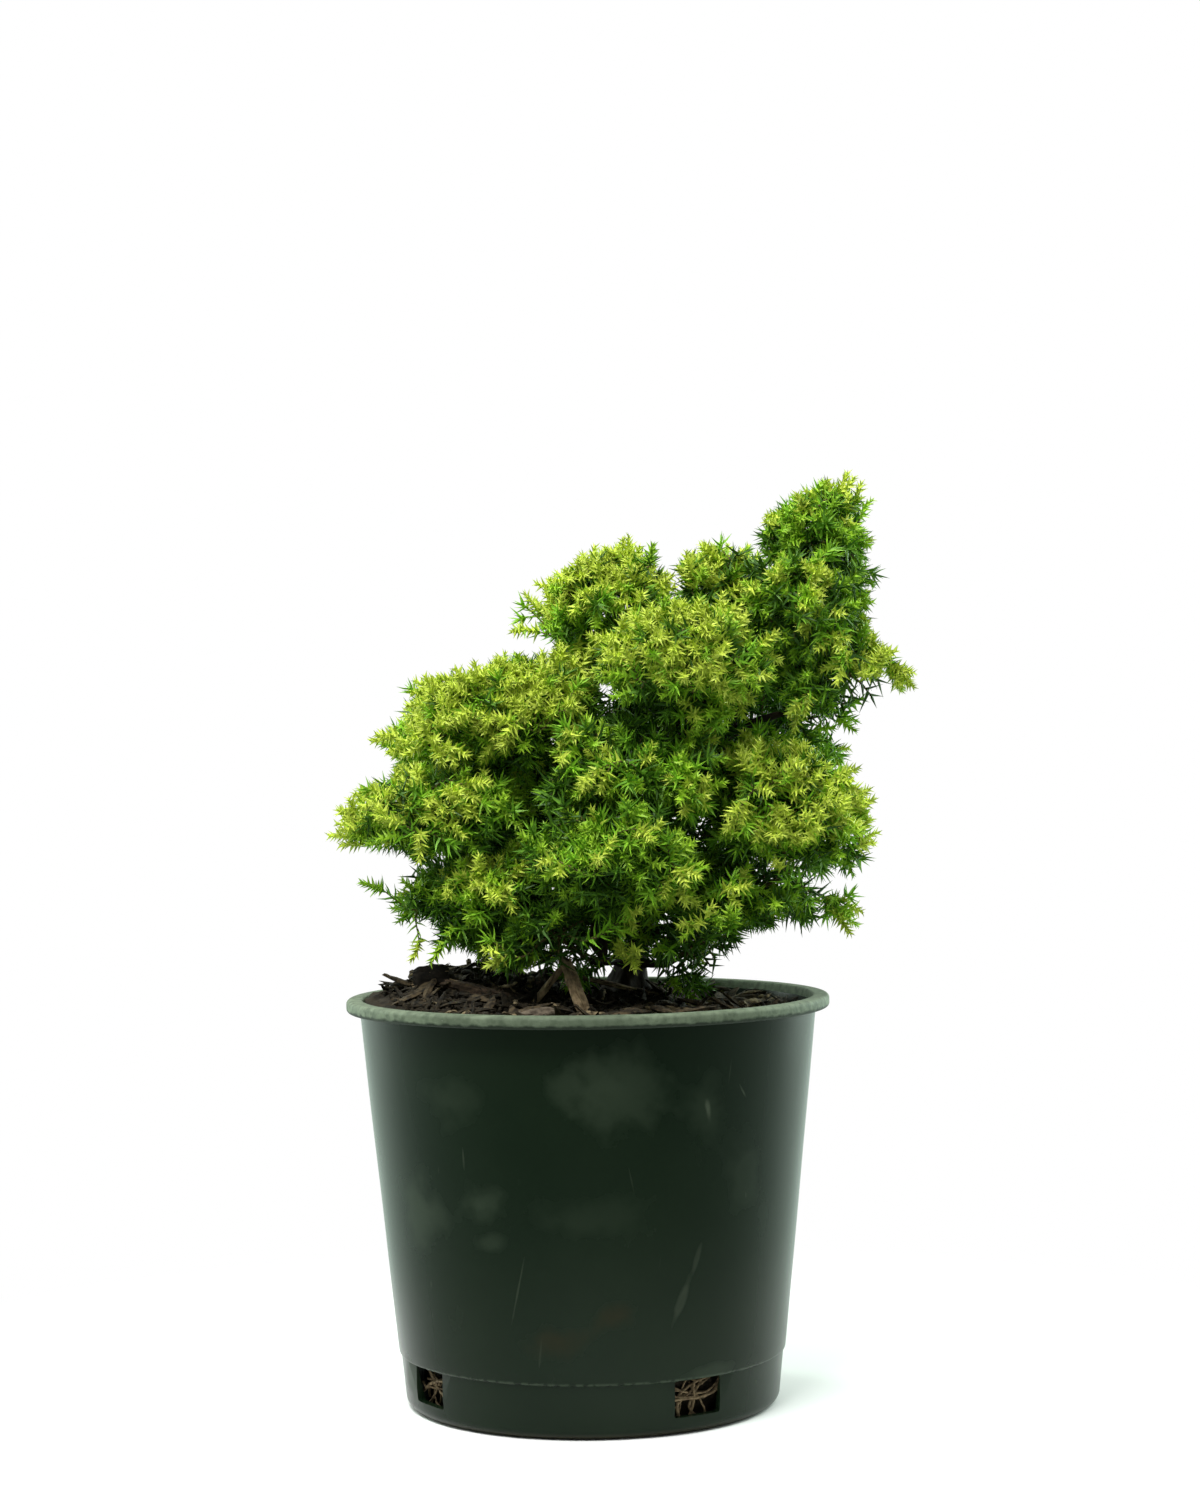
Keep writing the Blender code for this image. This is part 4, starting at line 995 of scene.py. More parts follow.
def makeLimbTree():
    # sweeps a round limb along each polyline, as thick as its girth says
    tree, given, result = newTree("limbSweep", "GeometryNodeTree", dict(
        geometry="Geometry", sides=4, material="Material"), dict(geometry="Geometry"))
    curve = outOf(tree, "GeometryNodeMeshToCurve", {0: given["geometry"]})
    girth = outOf(tree, "GeometryNodeInputNamedAttribute", {0: "girth"}, data_type="FLOAT")
    ring = outOf(tree, "GeometryNodeCurvePrimitiveCircle", {"Resolution": given["sides"], "Radius": 1.0})
    wires = {0: curve, 1: ring, "Scale": girth, "Fill Caps": True}
    return endTree(tree, outOf(tree, "GeometryNodeCurveToMesh", wires), given, result)


def makeNeedle(tree, given):
    # a cone made into an awl: fuller in its middle, and curved forwards
    cone = outOf(tree, "GeometryNodeMeshCone", {
        "Vertices": 3, "Side Segments": given["segments"], "Radius Top": 0.0, "Depth": 1.0,
        "Radius Bottom": times(tree, given["width"], 0.5)}, "Mesh", fill_type="NGON")
    place = addNode(tree, "ShaderNodeSeparateXYZ", {0: outOf(tree, "GeometryNodeInputPosition")}).outputs
    lift = place[2]
    swelling = times(tree, given["fullness"], times(tree, lift, minus(tree, 1, lift)))
    forward = times(tree, given["bend"], times(tree, lift, lift))
    offset = outOf(tree, "ShaderNodeCombineXYZ", {
        0: times(tree, place[0], swelling), 1: plus(tree, forward, times(tree, place[1], swelling))})
    return outOf(tree, "GeometryNodeSetPosition", {0: cone, "Offset": offset})


def makeNeedleTree():
    # sets needles in a spiral along each shoot, leaning forwards, longest in its middle
    tree, given, result = newTree("needledShoot", "GeometryNodeTree", dict(
        geometry="Geometry", spacing=0.0006, length=0.009, width=0.1, spread=1.0, endSpread=0.7,
        rootLength=0.7, endLength=0.6, bend=0.1, fullness=1.0, segments=2, seed=0, material="Material",
    ), dict(geometry="Geometry"))
    curve = outOf(tree, "GeometryNodeMeshToCurve", {0: given["geometry"]})
    capture = tree.nodes.new("GeometryNodeCaptureAttribute")
    capture.capture_items.new("FLOAT", "Along")
    tree.links.new(curve, capture.inputs[0])
    tree.links.new(outOf(tree, "GeometryNodeSplineParameter", out="Factor"), capture.inputs[1])
    curve, along = capture.outputs[0], capture.outputs[1]
    wires = {0: curve, "Length": given["spacing"]}
    points = addNode(tree, "GeometryNodeCurveToPoints", wires, mode="LENGTH").outputs
    wound = times(tree, outOf(tree, "GeometryNodeInputIndex"), goldenAngle)
    turn = plus(tree, wound, chance(tree, given["seed"], -0.35, 0.35, 1))
    spread = outOf(tree, "ShaderNodeMix", {0: along, 2: given["spread"], 3: given["endSpread"]})
    lean = plus(tree, spread, chance(tree, given["seed"], -0.22, 0.22, 2))
    turned = turnBy(tree, points["Rotation"], turnAbout(tree, (0, 0, 1), turn))
    aimed = turnBy(tree, turned, turnAbout(tree, (1, 0, 0), lean))
    # a needle's length swells from the root value to 1 in the middle and falls to the end value
    rootRise = calc(tree, "POWER", minus(tree, 1, along), 3)
    rootFall = times(tree, minus(tree, 1, given["rootLength"]), rootRise)
    endFall = times(tree, minus(tree, 1, given["endLength"]), calc(tree, "POWER", along, 3))
    swell = minus(tree, minus(tree, 1, rootFall), endFall)
    size = times(tree, times(tree, swell, given["length"]), chance(tree, given["seed"], 0.78, 1.12, 3))
    placed = outOf(tree, "GeometryNodeInstanceOnPoints", {
        "Points": points[0], "Instance": makeNeedle(tree, given), "Rotation": aimed, "Scale": size})
    return endTree(tree, placed, given, result)


def makeNeedleFinish(name, colour):
    material, tree, shader = newFinish(name, 0.5, 0.22)
    darker, lighter = [value * 0.80 for value in colour], [value * 1.16 for value in colour]
    paint(tree, shader, mottle(tree, rgba(lighter), rgba(darker), scale=170.0, detail=2.0)["colour"])
    return material


def makeNeedles(name, strands, tree, look, finish, seed):
    piece = runTree(strands.build(name), tree, dict(look, seed=seed, material=finish))
    keepPiece(piece, "needles", *foliageNodes)
    piece.data.calc_loop_triangles()
    print(name, strands.count, "shoots,", len(piece.data.loop_triangles), "triangles")


def makeFoliage(lines, limbTree):
    foliage = Foliage()
    for index, (name, spec) in enumerate(masses.items()):
        growMass(index, name, spec, lines[name], foliage)
        clotheLimb(lines[name], *growthLook["clothedBough"], foliage, random.Random(index))
    trunkLine = [trunkPoint(i / 20) for i in range(21)]
    clotheLimb(trunkLine, *growthLook["clothedTrunk"], foliage, random.Random(99))
    needleTree = makeNeedleTree()
    finish = makeMottledFinish("twigBark", twigLook)
    twigPiece = runTree(foliage.wood.build("twigs"), limbTree, dict(sides=3, material=finish))
    keepSmooth(twigPiece, "bark", *foliageNodes)
    # the needles on the inner twigs take the shade tone, painted shade
    shadeFinish = makeNeedleFinish("shadeNeedles", needleTones["shade"]["colour"])
    makeNeedles("twigNeedles", foliage.shadeTwigs, needleTree, twigNeedleLook, shadeFinish, 90)
    for tones, toneLook, firstSeed in needleKinds:
        for seed, (tone, spec) in enumerate(tones.items(), firstSeed):
            isShade = tone == "shade"
            length = spec.get("needle", toneLook["length"])
            look = dict(shadeNeedleLook if isShade else toneLook, length=length)
            finish = shadeFinish if isShade else makeNeedleFinish(tone + "Needles", spec["colour"])
            makeNeedles(tone + "Needles", foliage.shoots[tone], needleTree, look, finish, seed)


twigLook = {
    "colour": (0.16, 0.13, 0.045),
    "patch": (0.075, 0.050, 0.025),
    "patchScale": 300,
    "roughness": 0.8,
    "specular": 0.2,
}


potLook = {
    "height": 149 * mm,
    "rimRadius": 89 * mm,
    "rimDepth": 4.6 * mm,
    "rimRound": 1.5 * mm,
    "bodyTop": 84 * mm,
    "stepHeight": 20 * mm,
    "stepRadius": 71.2 * mm,
    "stepInset": 0.7 * mm,
    "footRadius": 68.8 * mm,
    "footRound": 4.2 * mm,
    "wall": 1.6 * mm,
    "floor": 2.0 * mm,
    "sides": 192,
    "wobble": 0.10 * mm,
    "holes": 4,
    "firstHole": math.radians(32),
    "holeWidth": 19 * mm,
    "holeBottom": 6.3 * mm,
    "holeTop": 19.4 * mm,
    "panelDepth": 0.9 * mm,
    "colour": (0.0045, 0.0115, 0.0050),
    "patch": (0.0085, 0.0170, 0.0080),
    "dust": (0.050, 0.070, 0.044),
    "scratchColour": (0.11, 0.13, 0.09),
    "soilColour": (0.045, 0.030, 0.018),
    "stainColour": (0.026, 0.021, 0.009),
    # marks on the wall: centre in mm, size in mm, how strong, how far they lean
    "smudges": [
        ((6, -82, 124), (20, 14, 15), 0.52, 0), ((-60, -49, 77), (12, 13, 14), 0.42, 0),
        ((-38, -67, 82), (11, 9, 7), 0.40, 0), ((-35, -67, 69), (8, 8, 4), 0.30, 0),
        ((40, -70, 116), (9, 9, 12), 0.28, 0), ((-66, 40, 100), (18, 18, 16), 0.25, 0),
        ((-48, -66, 118), (14, 12, 9), 0.22, 0), ((54, -58, 92), (9, 12, 16), 0.20, 0),
        ((-2, -76, 78), (26, 9, 9), 0.16, 0), ((70, 30, 70), (16, 16, 22), 0.10, 0),
        ((10, 78, 90), (22, 12, 14), 0.12, 0), ((-66, -25, 13), (5, 9, 8), 0.45, 0),
        ((46, -60, 22), (16, 9, 3), 0.35, 0.1),
    ],
    "streaks": [
        ((-25.5, -70, 53), (0.4, 6, 15), 0.22, -0.2), ((31, -67, 48), (1.3, 6, 10), 0.26, -0.36),
        ((36.5, -67, 62), (0.8, 6, 6), 0.20, -0.3), ((41, -70, 115), (1.3, 6, 4.5), 0.55, 0.1),
        ((53.5, -61, 120), (0.5, 6, 3.5), 0.40, 0.45), ((-44, -66, 99), (0.4, 6, 4), 0.22, 0.05),
        ((-18, -72, 32), (0.4, 6, 6), 0.14, -0.1), ((14, -75, 92), (0.3, 6, 5), 0.14, 0.2),
        ((-60, 36, 60), (0.5, 6, 12), 0.22, 0.2), ((30, 66, 84), (0.5, 6, 10), 0.22, -0.25),
    ],
    "stains": [
        ((8, -73, 44), (9, 8, 5), 0.55, 0), ((-12, -71, 36), (12, 8, 6), 0.50, 0),
        ((20, 70, 40), (10, 8, 6), 0.45, 0),
    ],
    "rimColour": (0.165, 0.205, 0.135),
    "rimPatch": (0.070, 0.094, 0.058),
    "rimSide": (0.016, 0.026, 0.014),
    "rimScratch": (0.30, 0.34, 0.26),
    "paleRim": 3.2 * mm,  # how far down from the top the rim is worn pale
    "rimRagged": 1.0 * mm,
}


def arcPoints(centre, radius, start, end, count):
    angles = [math.radians(start + (end - start) * i / (count - 1)) for i in range(count)]
    return [(centre[0] + radius * math.cos(a), centre[1] + radius * math.sin(a)) for a in angles]


def bodyRadius(height):
    look = potLook
    share = (height - look["stepHeight"]) / (look["height"] - look["rimDepth"] - look["stepHeight"])
    return look["stepRadius"] + (look["bodyTop"] - look["stepRadius"]) * share


def footRadius(height):
    look = potLook
    top = look["stepRadius"] - look["stepInset"]
    return look["footRadius"] + (top - look["footRadius"]) * (height - look["footRound"]) / (
        look["stepHeight"] - look["footRound"])


def insideRadius(height):
    return (bodyRadius(height) if height > potLook["stepHeight"] else footRadius(height)) - potLook["wall"]


def potProfile():
    # (radius, height) from the middle of the underside, up the outside and down the inside
    look = potLook
    top, step, thick = look["height"], look["stepHeight"], look["floor"]
    lip = top - look["rimDepth"]
    footRound, rimRound, lipRound = look["footRound"], look["rimRound"], 0.9 * mm
    outside = [(0, 0), (30 * mm, 0), (55 * mm, 0)]
    outside += arcPoints((look["footRadius"] - footRound, footRound), footRound, -90, 0, 9)
    outside += [(footRadius(h * mm), h * mm) for h in (7, 10, 13, 16, 18.5)]
    outside += [(footRadius(step) - 0.1 * mm, step - look["stepInset"] * 0.9)]
    outside += [(look["stepRadius"] - 0.15 * mm, step - 0.1 * mm), (look["stepRadius"], step + 0.35 * mm)]
    wallHeights = [step + (lip - step) * i / 30 for i in range(1, 30)]
    outside += [(bodyRadius(height), height) for height in wallHeights]
    outside += [(bodyRadius(lip), lip - 0.3 * mm), (bodyRadius(lip) + 0.5 * mm, lip)]
    outer = look["rimRadius"] - rimRound
    rim = arcPoints((outer, lip + rimRound), rimRound, -90, 0, 6)
    rim += arcPoints((outer, top - rimRound), rimRound, 0, 90, 7)
    rim += arcPoints((insideRadius(top) + lipRound, top - lipRound), lipRound, 90, 180, 4)
    inside = [(insideRadius(top - drop * mm), top - drop * mm) for drop in (3, 6, 10, 20, 50, 90)]
    base = step + look["wall"]
    inside += [(insideRadius(base), base), (insideRadius(thick) - thick, thick), (0, thick)]
    return outside + rim + inside


def potWobble(turn, height):
    # moulded plastic is never quite round: a slow swell round the pot, softer at the foot
    place = Vector((math.cos(turn) * 1.4, math.sin(turn) * 1.4, height / (45 * mm)))
    return noise.noise(place) * potLook["wobble"] * 2 * min(height / (40 * mm), 1)


def makePotPlastic():
    look = potLook
    material, tree, shader = newFinish("greenPotPlastic", 0.3, 0.11)
    dust, scratchColour = rgba(look["dust"]), rgba(look["scratchColour"])
    plain = mottle(tree, rgba(look["colour"]), rgba(look["patch"]), scale=14.0, detail=3.0, softness=0.3)
    base = plain["colour"]
    dusty = mottle(tree, base, dust, scale=60.0, detail=6.0, patchShare=0.12, softness=0.22,
                   stretch=(1, 1, 0.6))
    colour, cloudy = mixColours(tree, 0.22, base, dusty["colour"]), dusty["mask"]
    for marks, tint in (("smudges", "dust"), ("streaks", "scratchColour"), ("stains", "stainColour")):
        for centre, size, amount, lean in look[marks]:
            smudge = useGroup(tree, smudgeGroup, colour=colour, smudgeColour=rgba(look[tint]), amount=amount,
                              centre=Vector(centre) * mm, size=Vector(size) * mm, lean=lean)
            colour = smudge["colour"]
            cloudy = calc(tree, "MAXIMUM", cloudy, times(tree, smudge["mask"], 2))
    for lean, scale in ((0.22, 150.0), (-0.12, 190.0)):
        colour = useGroup(tree, scratchGroup, colour=colour, scratchColour=scratchColour, scale=scale,
                          amount=0.32, lean=lean)["colour"]
    # soil left along the step, and a brown band round the very foot
    height = axisOf(tree, objectPlace(tree), 2)
    fromStep = calc(tree, "ABSOLUTE", minus(tree, height, look["stepHeight"] - 0.1 * mm))
    flakes = useGroup(tree, mottleGroup, scale=420.0, detail=3.0, patchShare=0.52, softness=0.08)["mask"]
    nearStep = times(tree, mapRange(tree, fromStep, 0.8 * mm, 0.1 * mm), flakes)
    colour = mixColours(tree, times(tree, nearStep, 0.55), colour, dust)
    nearFoot = mapRange(tree, height, 2.6 * mm, 0.9 * mm)
    colour = mixColours(tree, times(tree, nearFoot, 0.35), colour, rgba(look["soilColour"]))
    tree.links.new(mapRange(tree, cloudy, 0.0, 1.0, 0.27, 0.5), shader["Roughness"])
    paint(tree, shader, colour, 0.04 * mm, scale=70.0, fineScale=1100.0, fineShare=0.04)
    return material


def makeRimPlastic():
    look = potLook
    material, tree, shader = newFinish("fadedRimPlastic", 0.66, 0.25)
    patch, paleFrom = rgba(look["rimPatch"]), look["height"] - look["paleRim"]
    patches = mottle(tree, rgba(look["rimColour"]), patch, scale=330.0, detail=7.0, patchShare=0.46,
                     softness=0.22)
    worn = mottle(tree, patches["colour"], patch, scale=30.0, detail=2.0, patchShare=0.4)
    scratched = useGroup(tree, scratchGroup, colour=worn["colour"], scratchColour=rgba(look["rimScratch"]),
                         scale=500.0, width=0.16, amount=0.5, stretch=(0.3, 1, 1), lean=0.0)
    ragged = useGroup(tree, mottleGroup, scale=260.0, detail=4.0, softness=0.3)["mask"]
    edge = plus(tree, axisOf(tree, objectPlace(tree), 2), times(tree, ragged, look["rimRagged"]))
    top = mapRange(tree, edge, paleFrom, paleFrom + 0.8 * mm)
    colour = mixColours(tree, top, rgba(look["rimSide"]), scratched["colour"])
    paint(tree, shader, colour, 0.22 * mm, scale=500.0, fineScale=2600.0, fineShare=0.5)
    return material


def roundedBlock(name, size, place, turn, bevel):
    mesh = bmesh.new()
    bmesh.ops.create_cube(mesh, size=1)
    bmesh.ops.scale(mesh, vec=size, verts=mesh.verts)
    depthEdges = [edge for edge in mesh.edges if abs((edge.verts[0].co - edge.verts[1].co).y) > size[1] / 2]
    bmesh.ops.bevel(mesh, geom=depthEdges, offset=bevel, segments=4, affect="EDGES", profile=0.5)
    matrix = Matrix.Translation(place) @ Matrix.Rotation(turn, 4, "Z")
    bmesh.ops.transform(mesh, matrix=matrix, verts=mesh.verts)
    obj = meshFrom(name, [])
    mesh.to_mesh(obj.data)
    mesh.free()
    return obj


def drainHoles():
    # for each drain hole the turn round the pot and the way out through it
    turns = [potLook["firstHole"] + i * 2 * math.pi / potLook["holes"] for i in range(potLook["holes"])]
    return [(turn, Vector((math.sin(turn), -math.cos(turn), 0))) for turn in turns]


def makePot():
    look = potLook
    profile, sides = potProfile(), look["sides"]
    lip = look["height"] - look["rimDepth"]
    points = [Vector((0, 0, profile[0][1])), Vector((0, 0, profile[-1][1]))]
    rings = profile[1:-1]
    for radius, height in rings:
        for turn in turnsRound(sides):
            out = radius + (potWobble(turn, height) if radius > 60 * mm else 0)
            points.append(Vector((out * math.cos(turn), out * math.sin(turn), height)))
    last = 2 + (len(rings) - 1) * sides
    faces = joinRings(len(rings), sides, 2)
    faces += [(0, 2 + (k + 1) % sides, 2 + k) for k in range(sides)]
    faces += [(1, last + k, last + (k + 1) % sides) for k in range(sides)]
    isRim = [min(low, high) > lip - 0.05 * mm for (_, low), (_, high) in zip(rings, rings[1:])] + [False] * 2
    pot = meshFrom("potShell", points, faces, finishes=[makePotPlastic(), makeRimPlastic()])
    pot.data.polygons.foreach_set("material_index", np.repeat(np.array(isRim, np.int32), sides))
    middle = (look["holeTop"] + look["holeBottom"]) / 2
    band = footRadius(middle)
    panelTop, panelBottom = look["stepHeight"] - look["stepInset"], look["footRound"] * 0.7
    panelSize = (2 * look["holeWidth"], 4 * mm, panelTop - panelBottom)
    holeSize = (look["holeWidth"], 12 * mm, look["holeTop"] - look["holeBottom"])
    for turn, out in drainHoles():
        panelPlace = out * (band - look["panelDepth"] + 2 * mm) + Vector((0, 0, (panelTop + panelBottom) / 2))
        cutters = [
            roundedBlock("panelCutter", panelSize, panelPlace, turn, 2.2 * mm),
            roundedBlock("holeCutter", holeSize, out * band + Vector((0, 0, middle)), turn, 0.9 * mm),
        ]
        for cutter in cutters:
            modifier = pot.modifiers.new("cut", "BOOLEAN")
            modifier.operation, modifier.object = "DIFFERENCE", cutter
        applyModifiers(pot)
        for cutter in cutters:
            bpy.data.objects.remove(cutter)
    keepSmooth(pot, "pot_plastic", "pot", sharpFrom=40)
    print("pot", len(pot.data.polygons), "faces")


mixLook = {
    "level": 143.5 * mm,
    "heapCentre": Vector((-42, 4)) * mm,
    "heapHeight": 14 * mm,
    "heapSpread": 42 * mm,
    "lumpHeight": 1.6 * mm,
    "lumpSize": 9 * mm,
    "seatHeight": 150.5 * mm,
    "seatRadius": 12 * mm,
    "crumbHeight": 1.6 * mm,
    "rings": 70,
    "sides": 200,
    # height and gap to the wall, in mm
    "sideRings": [(60, 0.15), (24, 0.15), (21.5, 5.5), (4.6, 6.5), (2.1, 8)],
    "colour": (0.012, 0.010, 0.007),
    "patch": (0.036, 0.027, 0.017),
    "patchScale": 190,
    "roughness": 0.95,
    "specular": 0.15,
    "grainScale": 600,
    "grainDepth": 0.8 * mm,
}


def mixHeight(x, y):
    look = mixLook
    place = Vector((x, y))
    heap = look["heapHeight"] * math.exp(-((place - look["heapCentre"]).length / look["heapSpread"]) ** 2)
    lumps = look["lumpHeight"] * noise.noise(Vector((x, y, 0)) / look["lumpSize"])
    away = min(max((place - trunkLook["solidFoot"].xy).length / look["seatRadius"] - 1, 0), 1)
    return look["seatHeight"] * (1 - away) + (look["level"] + heap + lumps) * away


def crumbs(x, y):
    place = Vector((x, y, 0))
    return mixLook["crumbHeight"] * (
        noise.noise(place / (3.1 * mm)) * 0.6 + noise.noise(place / (1.3 * mm)) * 0.4 - 0.2)


def makeMix():
    look = mixLook
    points, sides = [Vector((0, 0, mixHeight(0, 0)))], look["sides"]
    for ring in range(1, look["rings"] + 1):
        for turn in turnsRound(sides):
            radius = (insideRadius(look["level"]) - 0.15 * mm) * ring / look["rings"]
            x, y = radius * math.cos(turn), radius * math.sin(turn)
            points.append(Vector((x, y, mixHeight(x, y) + crumbs(x, y))))
    # round the drain holes the mix has shrunk back from the wall, and roots fill the space
    for height, gap in look["sideRings"]:
        radius = insideRadius(height * mm) - gap * mm
        for turn in turnsRound(sides):
            points.append(Vector((radius * math.cos(turn), radius * math.sin(turn), height * mm)))
    loops = look["rings"] + len(look["sideRings"])
    last = 1 + (loops - 1) * sides
    faces = [(0, 1 + k, 1 + (k + 1) % sides) for k in range(sides)] + joinRings(loops, sides, 1, flip=True)
    faces.append(tuple(last + k for k in reversed(range(sides))))
    mix = meshFrom("pottingMix", points, faces, finishes=[makeMottledFinish("moistPottingMix", look)])
    keepSmooth(mix, "potting_mix", "potting_mix")
    print("potting mix", len(mix.data.polygons), "faces")


mulchLook = {
    "margin": 7.5 * mm,  # kept clear inside the pot's wall
    "shapes": 4,
    # density is for each square metre, fibre says whether they are splinters, the margin may differ
    "layers": {
        "mulchCrumbs": dict(
            density=150000, smallest=1.2 * mm, largest=3.4 * mm, tilt=1.6, rise=0.6 * mm, fibre=0.0,
            colour=(0.008, 0.007, 0.005), patch=(0.040, 0.030, 0.016)),
        "mulchDarkShreds": dict(
            density=38000, smallest=5 * mm, largest=14 * mm, tilt=0.55, rise=1.8 * mm, fibre=1.0,
            colour=(0.007, 0.006, 0.004), patch=(0.034, 0.025, 0.013)),
        "mulchPaleShreds": dict(
            density=4200, smallest=6 * mm, largest=15 * mm, tilt=0.6, rise=3.0 * mm, fibre=1.0,
            colour=(0.300, 0.230, 0.130), patch=(0.026, 0.019, 0.010)),
        "mulchStrips": dict(
            density=6500, smallest=13 * mm, largest=24 * mm, tilt=0.32, rise=3.4 * mm, fibre=1.0,
            colour=(0.013, 0.009, 0.005), patch=(0.078, 0.056, 0.029), margin=13.5 * mm),
    },
    "nearTrunk": 4 * mm,
    "finish": dict(patchScale=500, roughness=0.9, specular=0.25, grainScale=900, grainDepth=0.3 * mm),
}


def shredShape(name, seed, fibre):
    # a torn splinter of bark one unit long, or a rough crumb one unit across
    rng = random.Random(f"{name} {seed}")
    stations, sides = (9, 6) if fibre else (5, 6)
    width, thickness = (rng.uniform(0.07, 0.16), rng.uniform(0.04, 0.07)) if fibre else (0.4, 0.33)
    bow, twist = rng.uniform(-0.16, 0.16) * fibre, rng.uniform(-0.9, 0.9) * fibre
    points = []
    for i in range(stations):
        share = i / (stations - 1)
        swell = (math.sin(math.pi * (0.06 + 0.88 * share)) ** 0.5) * rng.uniform(0.75, 1.15)
        turn = twist * share
        for angle in turnsRound(sides):
            grain = rng.uniform(0.7, 1.25)
            across, up = math.cos(angle) * width * swell * grain, math.sin(angle) * thickness * swell * grain
            length = share - 0.5 + (rng.uniform(-0.07, 0.07) if i in (0, stations - 1) else 0)
            y = across * math.cos(turn) - up * math.sin(turn)
            z = across * math.sin(turn) + up * math.cos(turn) + bow * (4 * share * (1 - share) - 0.5)
            points.append((length, y, z))
    return points, tubeFaces(stations, sides, flip=True)


def makeScatterTree():
    # strews the shapes of a collection over a surface, turned and tilted by chance
    tree, given, result = newTree("strewnMulch", "GeometryNodeTree", dict(
        geometry="Geometry", shapes="Collection", density=1000.0, smallest=0.004, largest=0.01, tilt=0.3,
        rise=0.001, seed=0, material="Material"), dict(geometry="Geometry"))
    seed, tilt = given["seed"], given["tilt"]
    wires = {"Mesh": given["geometry"], "Density": given["density"], "Seed": seed}
    spots = addNode(tree, "GeometryNodeDistributePointsOnFaces", wires, distribute_method="RANDOM").outputs
    lift = outOf(tree, "ShaderNodeCombineXYZ", {2: chance(tree, seed, 0.0, given["rise"], 1)})
    raised = outOf(tree, "GeometryNodeSetPosition", {0: spots["Points"], "Offset": lift})
    lean = times(tree, tilt, chance(tree, seed, -1.0, 1.0, 2))
    roll = times(tree, tilt, chance(tree, seed, -1.0, 1.0, 3))
    spin = chance(tree, seed, 0.0, 2 * math.pi, 4)
    angles = outOf(tree, "ShaderNodeCombineXYZ", {0: roll, 1: lean, 2: spin})
    aimed = turnBy(tree, spots["Rotation"], outOf(tree, "FunctionNodeEulerToRotation", {0: angles}))
    shapes = outOf(tree, "GeometryNodeCollectionInfo", {
        "Collection": given["shapes"], "Separate Children": True, "Reset Children": True})
    placed = outOf(tree, "GeometryNodeInstanceOnPoints", {
        "Points": raised, "Instance": shapes, "Pick Instance": True, "Rotation": aimed,
        "Instance Index": chance(tree, seed, 0, mulchLook["shapes"] - 1, 5, "INT"),
        "Scale": chance(tree, seed, given["smallest"], given["largest"], 6)})
    return endTree(tree, placed, given, result)


def mixTop(name, margin):
    # the open top of the mix, which the mulch is strewn over
    rings, sides = 36, 96
    widest = insideRadius(mixLook["level"]) - margin
    foot, clear = trunkLook["solidFoot"].xy, trunkLook["radius"] + mulchLook["nearTrunk"]
    points = []
    for ring in range(1, rings + 1):
        for turn in turnsRound(sides):
            out = Vector((math.cos(turn), math.sin(turn)))
            spot = (foot + out * clear).lerp(out * widest, ring / rings)
            points.append((spot.x, spot.y, mixHeight(spot.x, spot.y)))
    return meshFrom(name, points, joinRings(rings, sides, flip=True))


def makeMulch():
    tree = makeScatterTree()
    for seed, (name, layer) in enumerate(mulchLook["layers"].items()):
        shapes = bpy.data.collections.new(name + "Shapes")
        for i in range(mulchLook["shapes"]):
            shape = meshFrom(f"{name}Shape{i}", *shredShape(name, i, layer["fibre"]))
            scene.collection.objects.unlink(shape)
            shapes.objects.link(shape)
        finish = makeMottledFinish(name + "Finish", layer | mulchLook["finish"])
        ground = mixTop(name, layer.get("margin", mulchLook["margin"]))
        piece = runTree(ground, tree, dict(layer, shapes=shapes, seed=seed, material=finish))
        for shape in list(shapes.objects):
            bpy.data.objects.remove(shape)
        bpy.data.collections.remove(shapes)
        keepPiece(piece, "bark_mulch")
        print(name, len(piece.data.polygons), "faces")


barkPieceLook = {
    "stations": 56,
    "sides": 36,
    "ridge": 0.50 * mm,
    "fibreWidth": 0.75 * mm,
    "fibreLength": 9 * mm,
    "tear": 0.10,  # how ragged the ends are, as a share of the length
    "squareness": 0.62,
    "colours": {
        "bark_chunk_left": ((0.007, 0.006, 0.005), (0.020, 0.015, 0.011)),
        "bark_lump_right": ((0.012, 0.009, 0.007), (0.034, 0.023, 0.016)),
        "bark_chip_front": ((0.150, 0.120, 0.085), (0.045, 0.033, 0.022)),
        "bark_strip_left": ((0.090, 0.058, 0.036), (0.030, 0.020, 0.013)),
        # the two forks are painted lighter than their own light brown, painted light that offsets the crown's
        # shadow on them
        "bark_fork_short": ((0.440, 0.320, 0.185), (0.150, 0.104, 0.058)),
        "bark_fork_long": ((0.420, 0.305, 0.175), (0.140, 0.097, 0.054)),
    },
    "plainColours": ((0.185, 0.125, 0.075), (0.060, 0.040, 0.025)),
    "finish": dict(patchScale=420, roughness=0.88, specular=0.25, grainScale=1100, grainDepth=0.35 * mm),
    "fibres": 16,
    "fibreGirth": (0.22 * mm, 0.50 * mm),
    "fibreFinish": dict(colour=(0.380, 0.285, 0.165), patch=(0.070, 0.049, 0.026), patchScale=240,
                        roughness=0.9, specular=0.15, grainScale=1500, grainDepth=0.1 * mm),
}


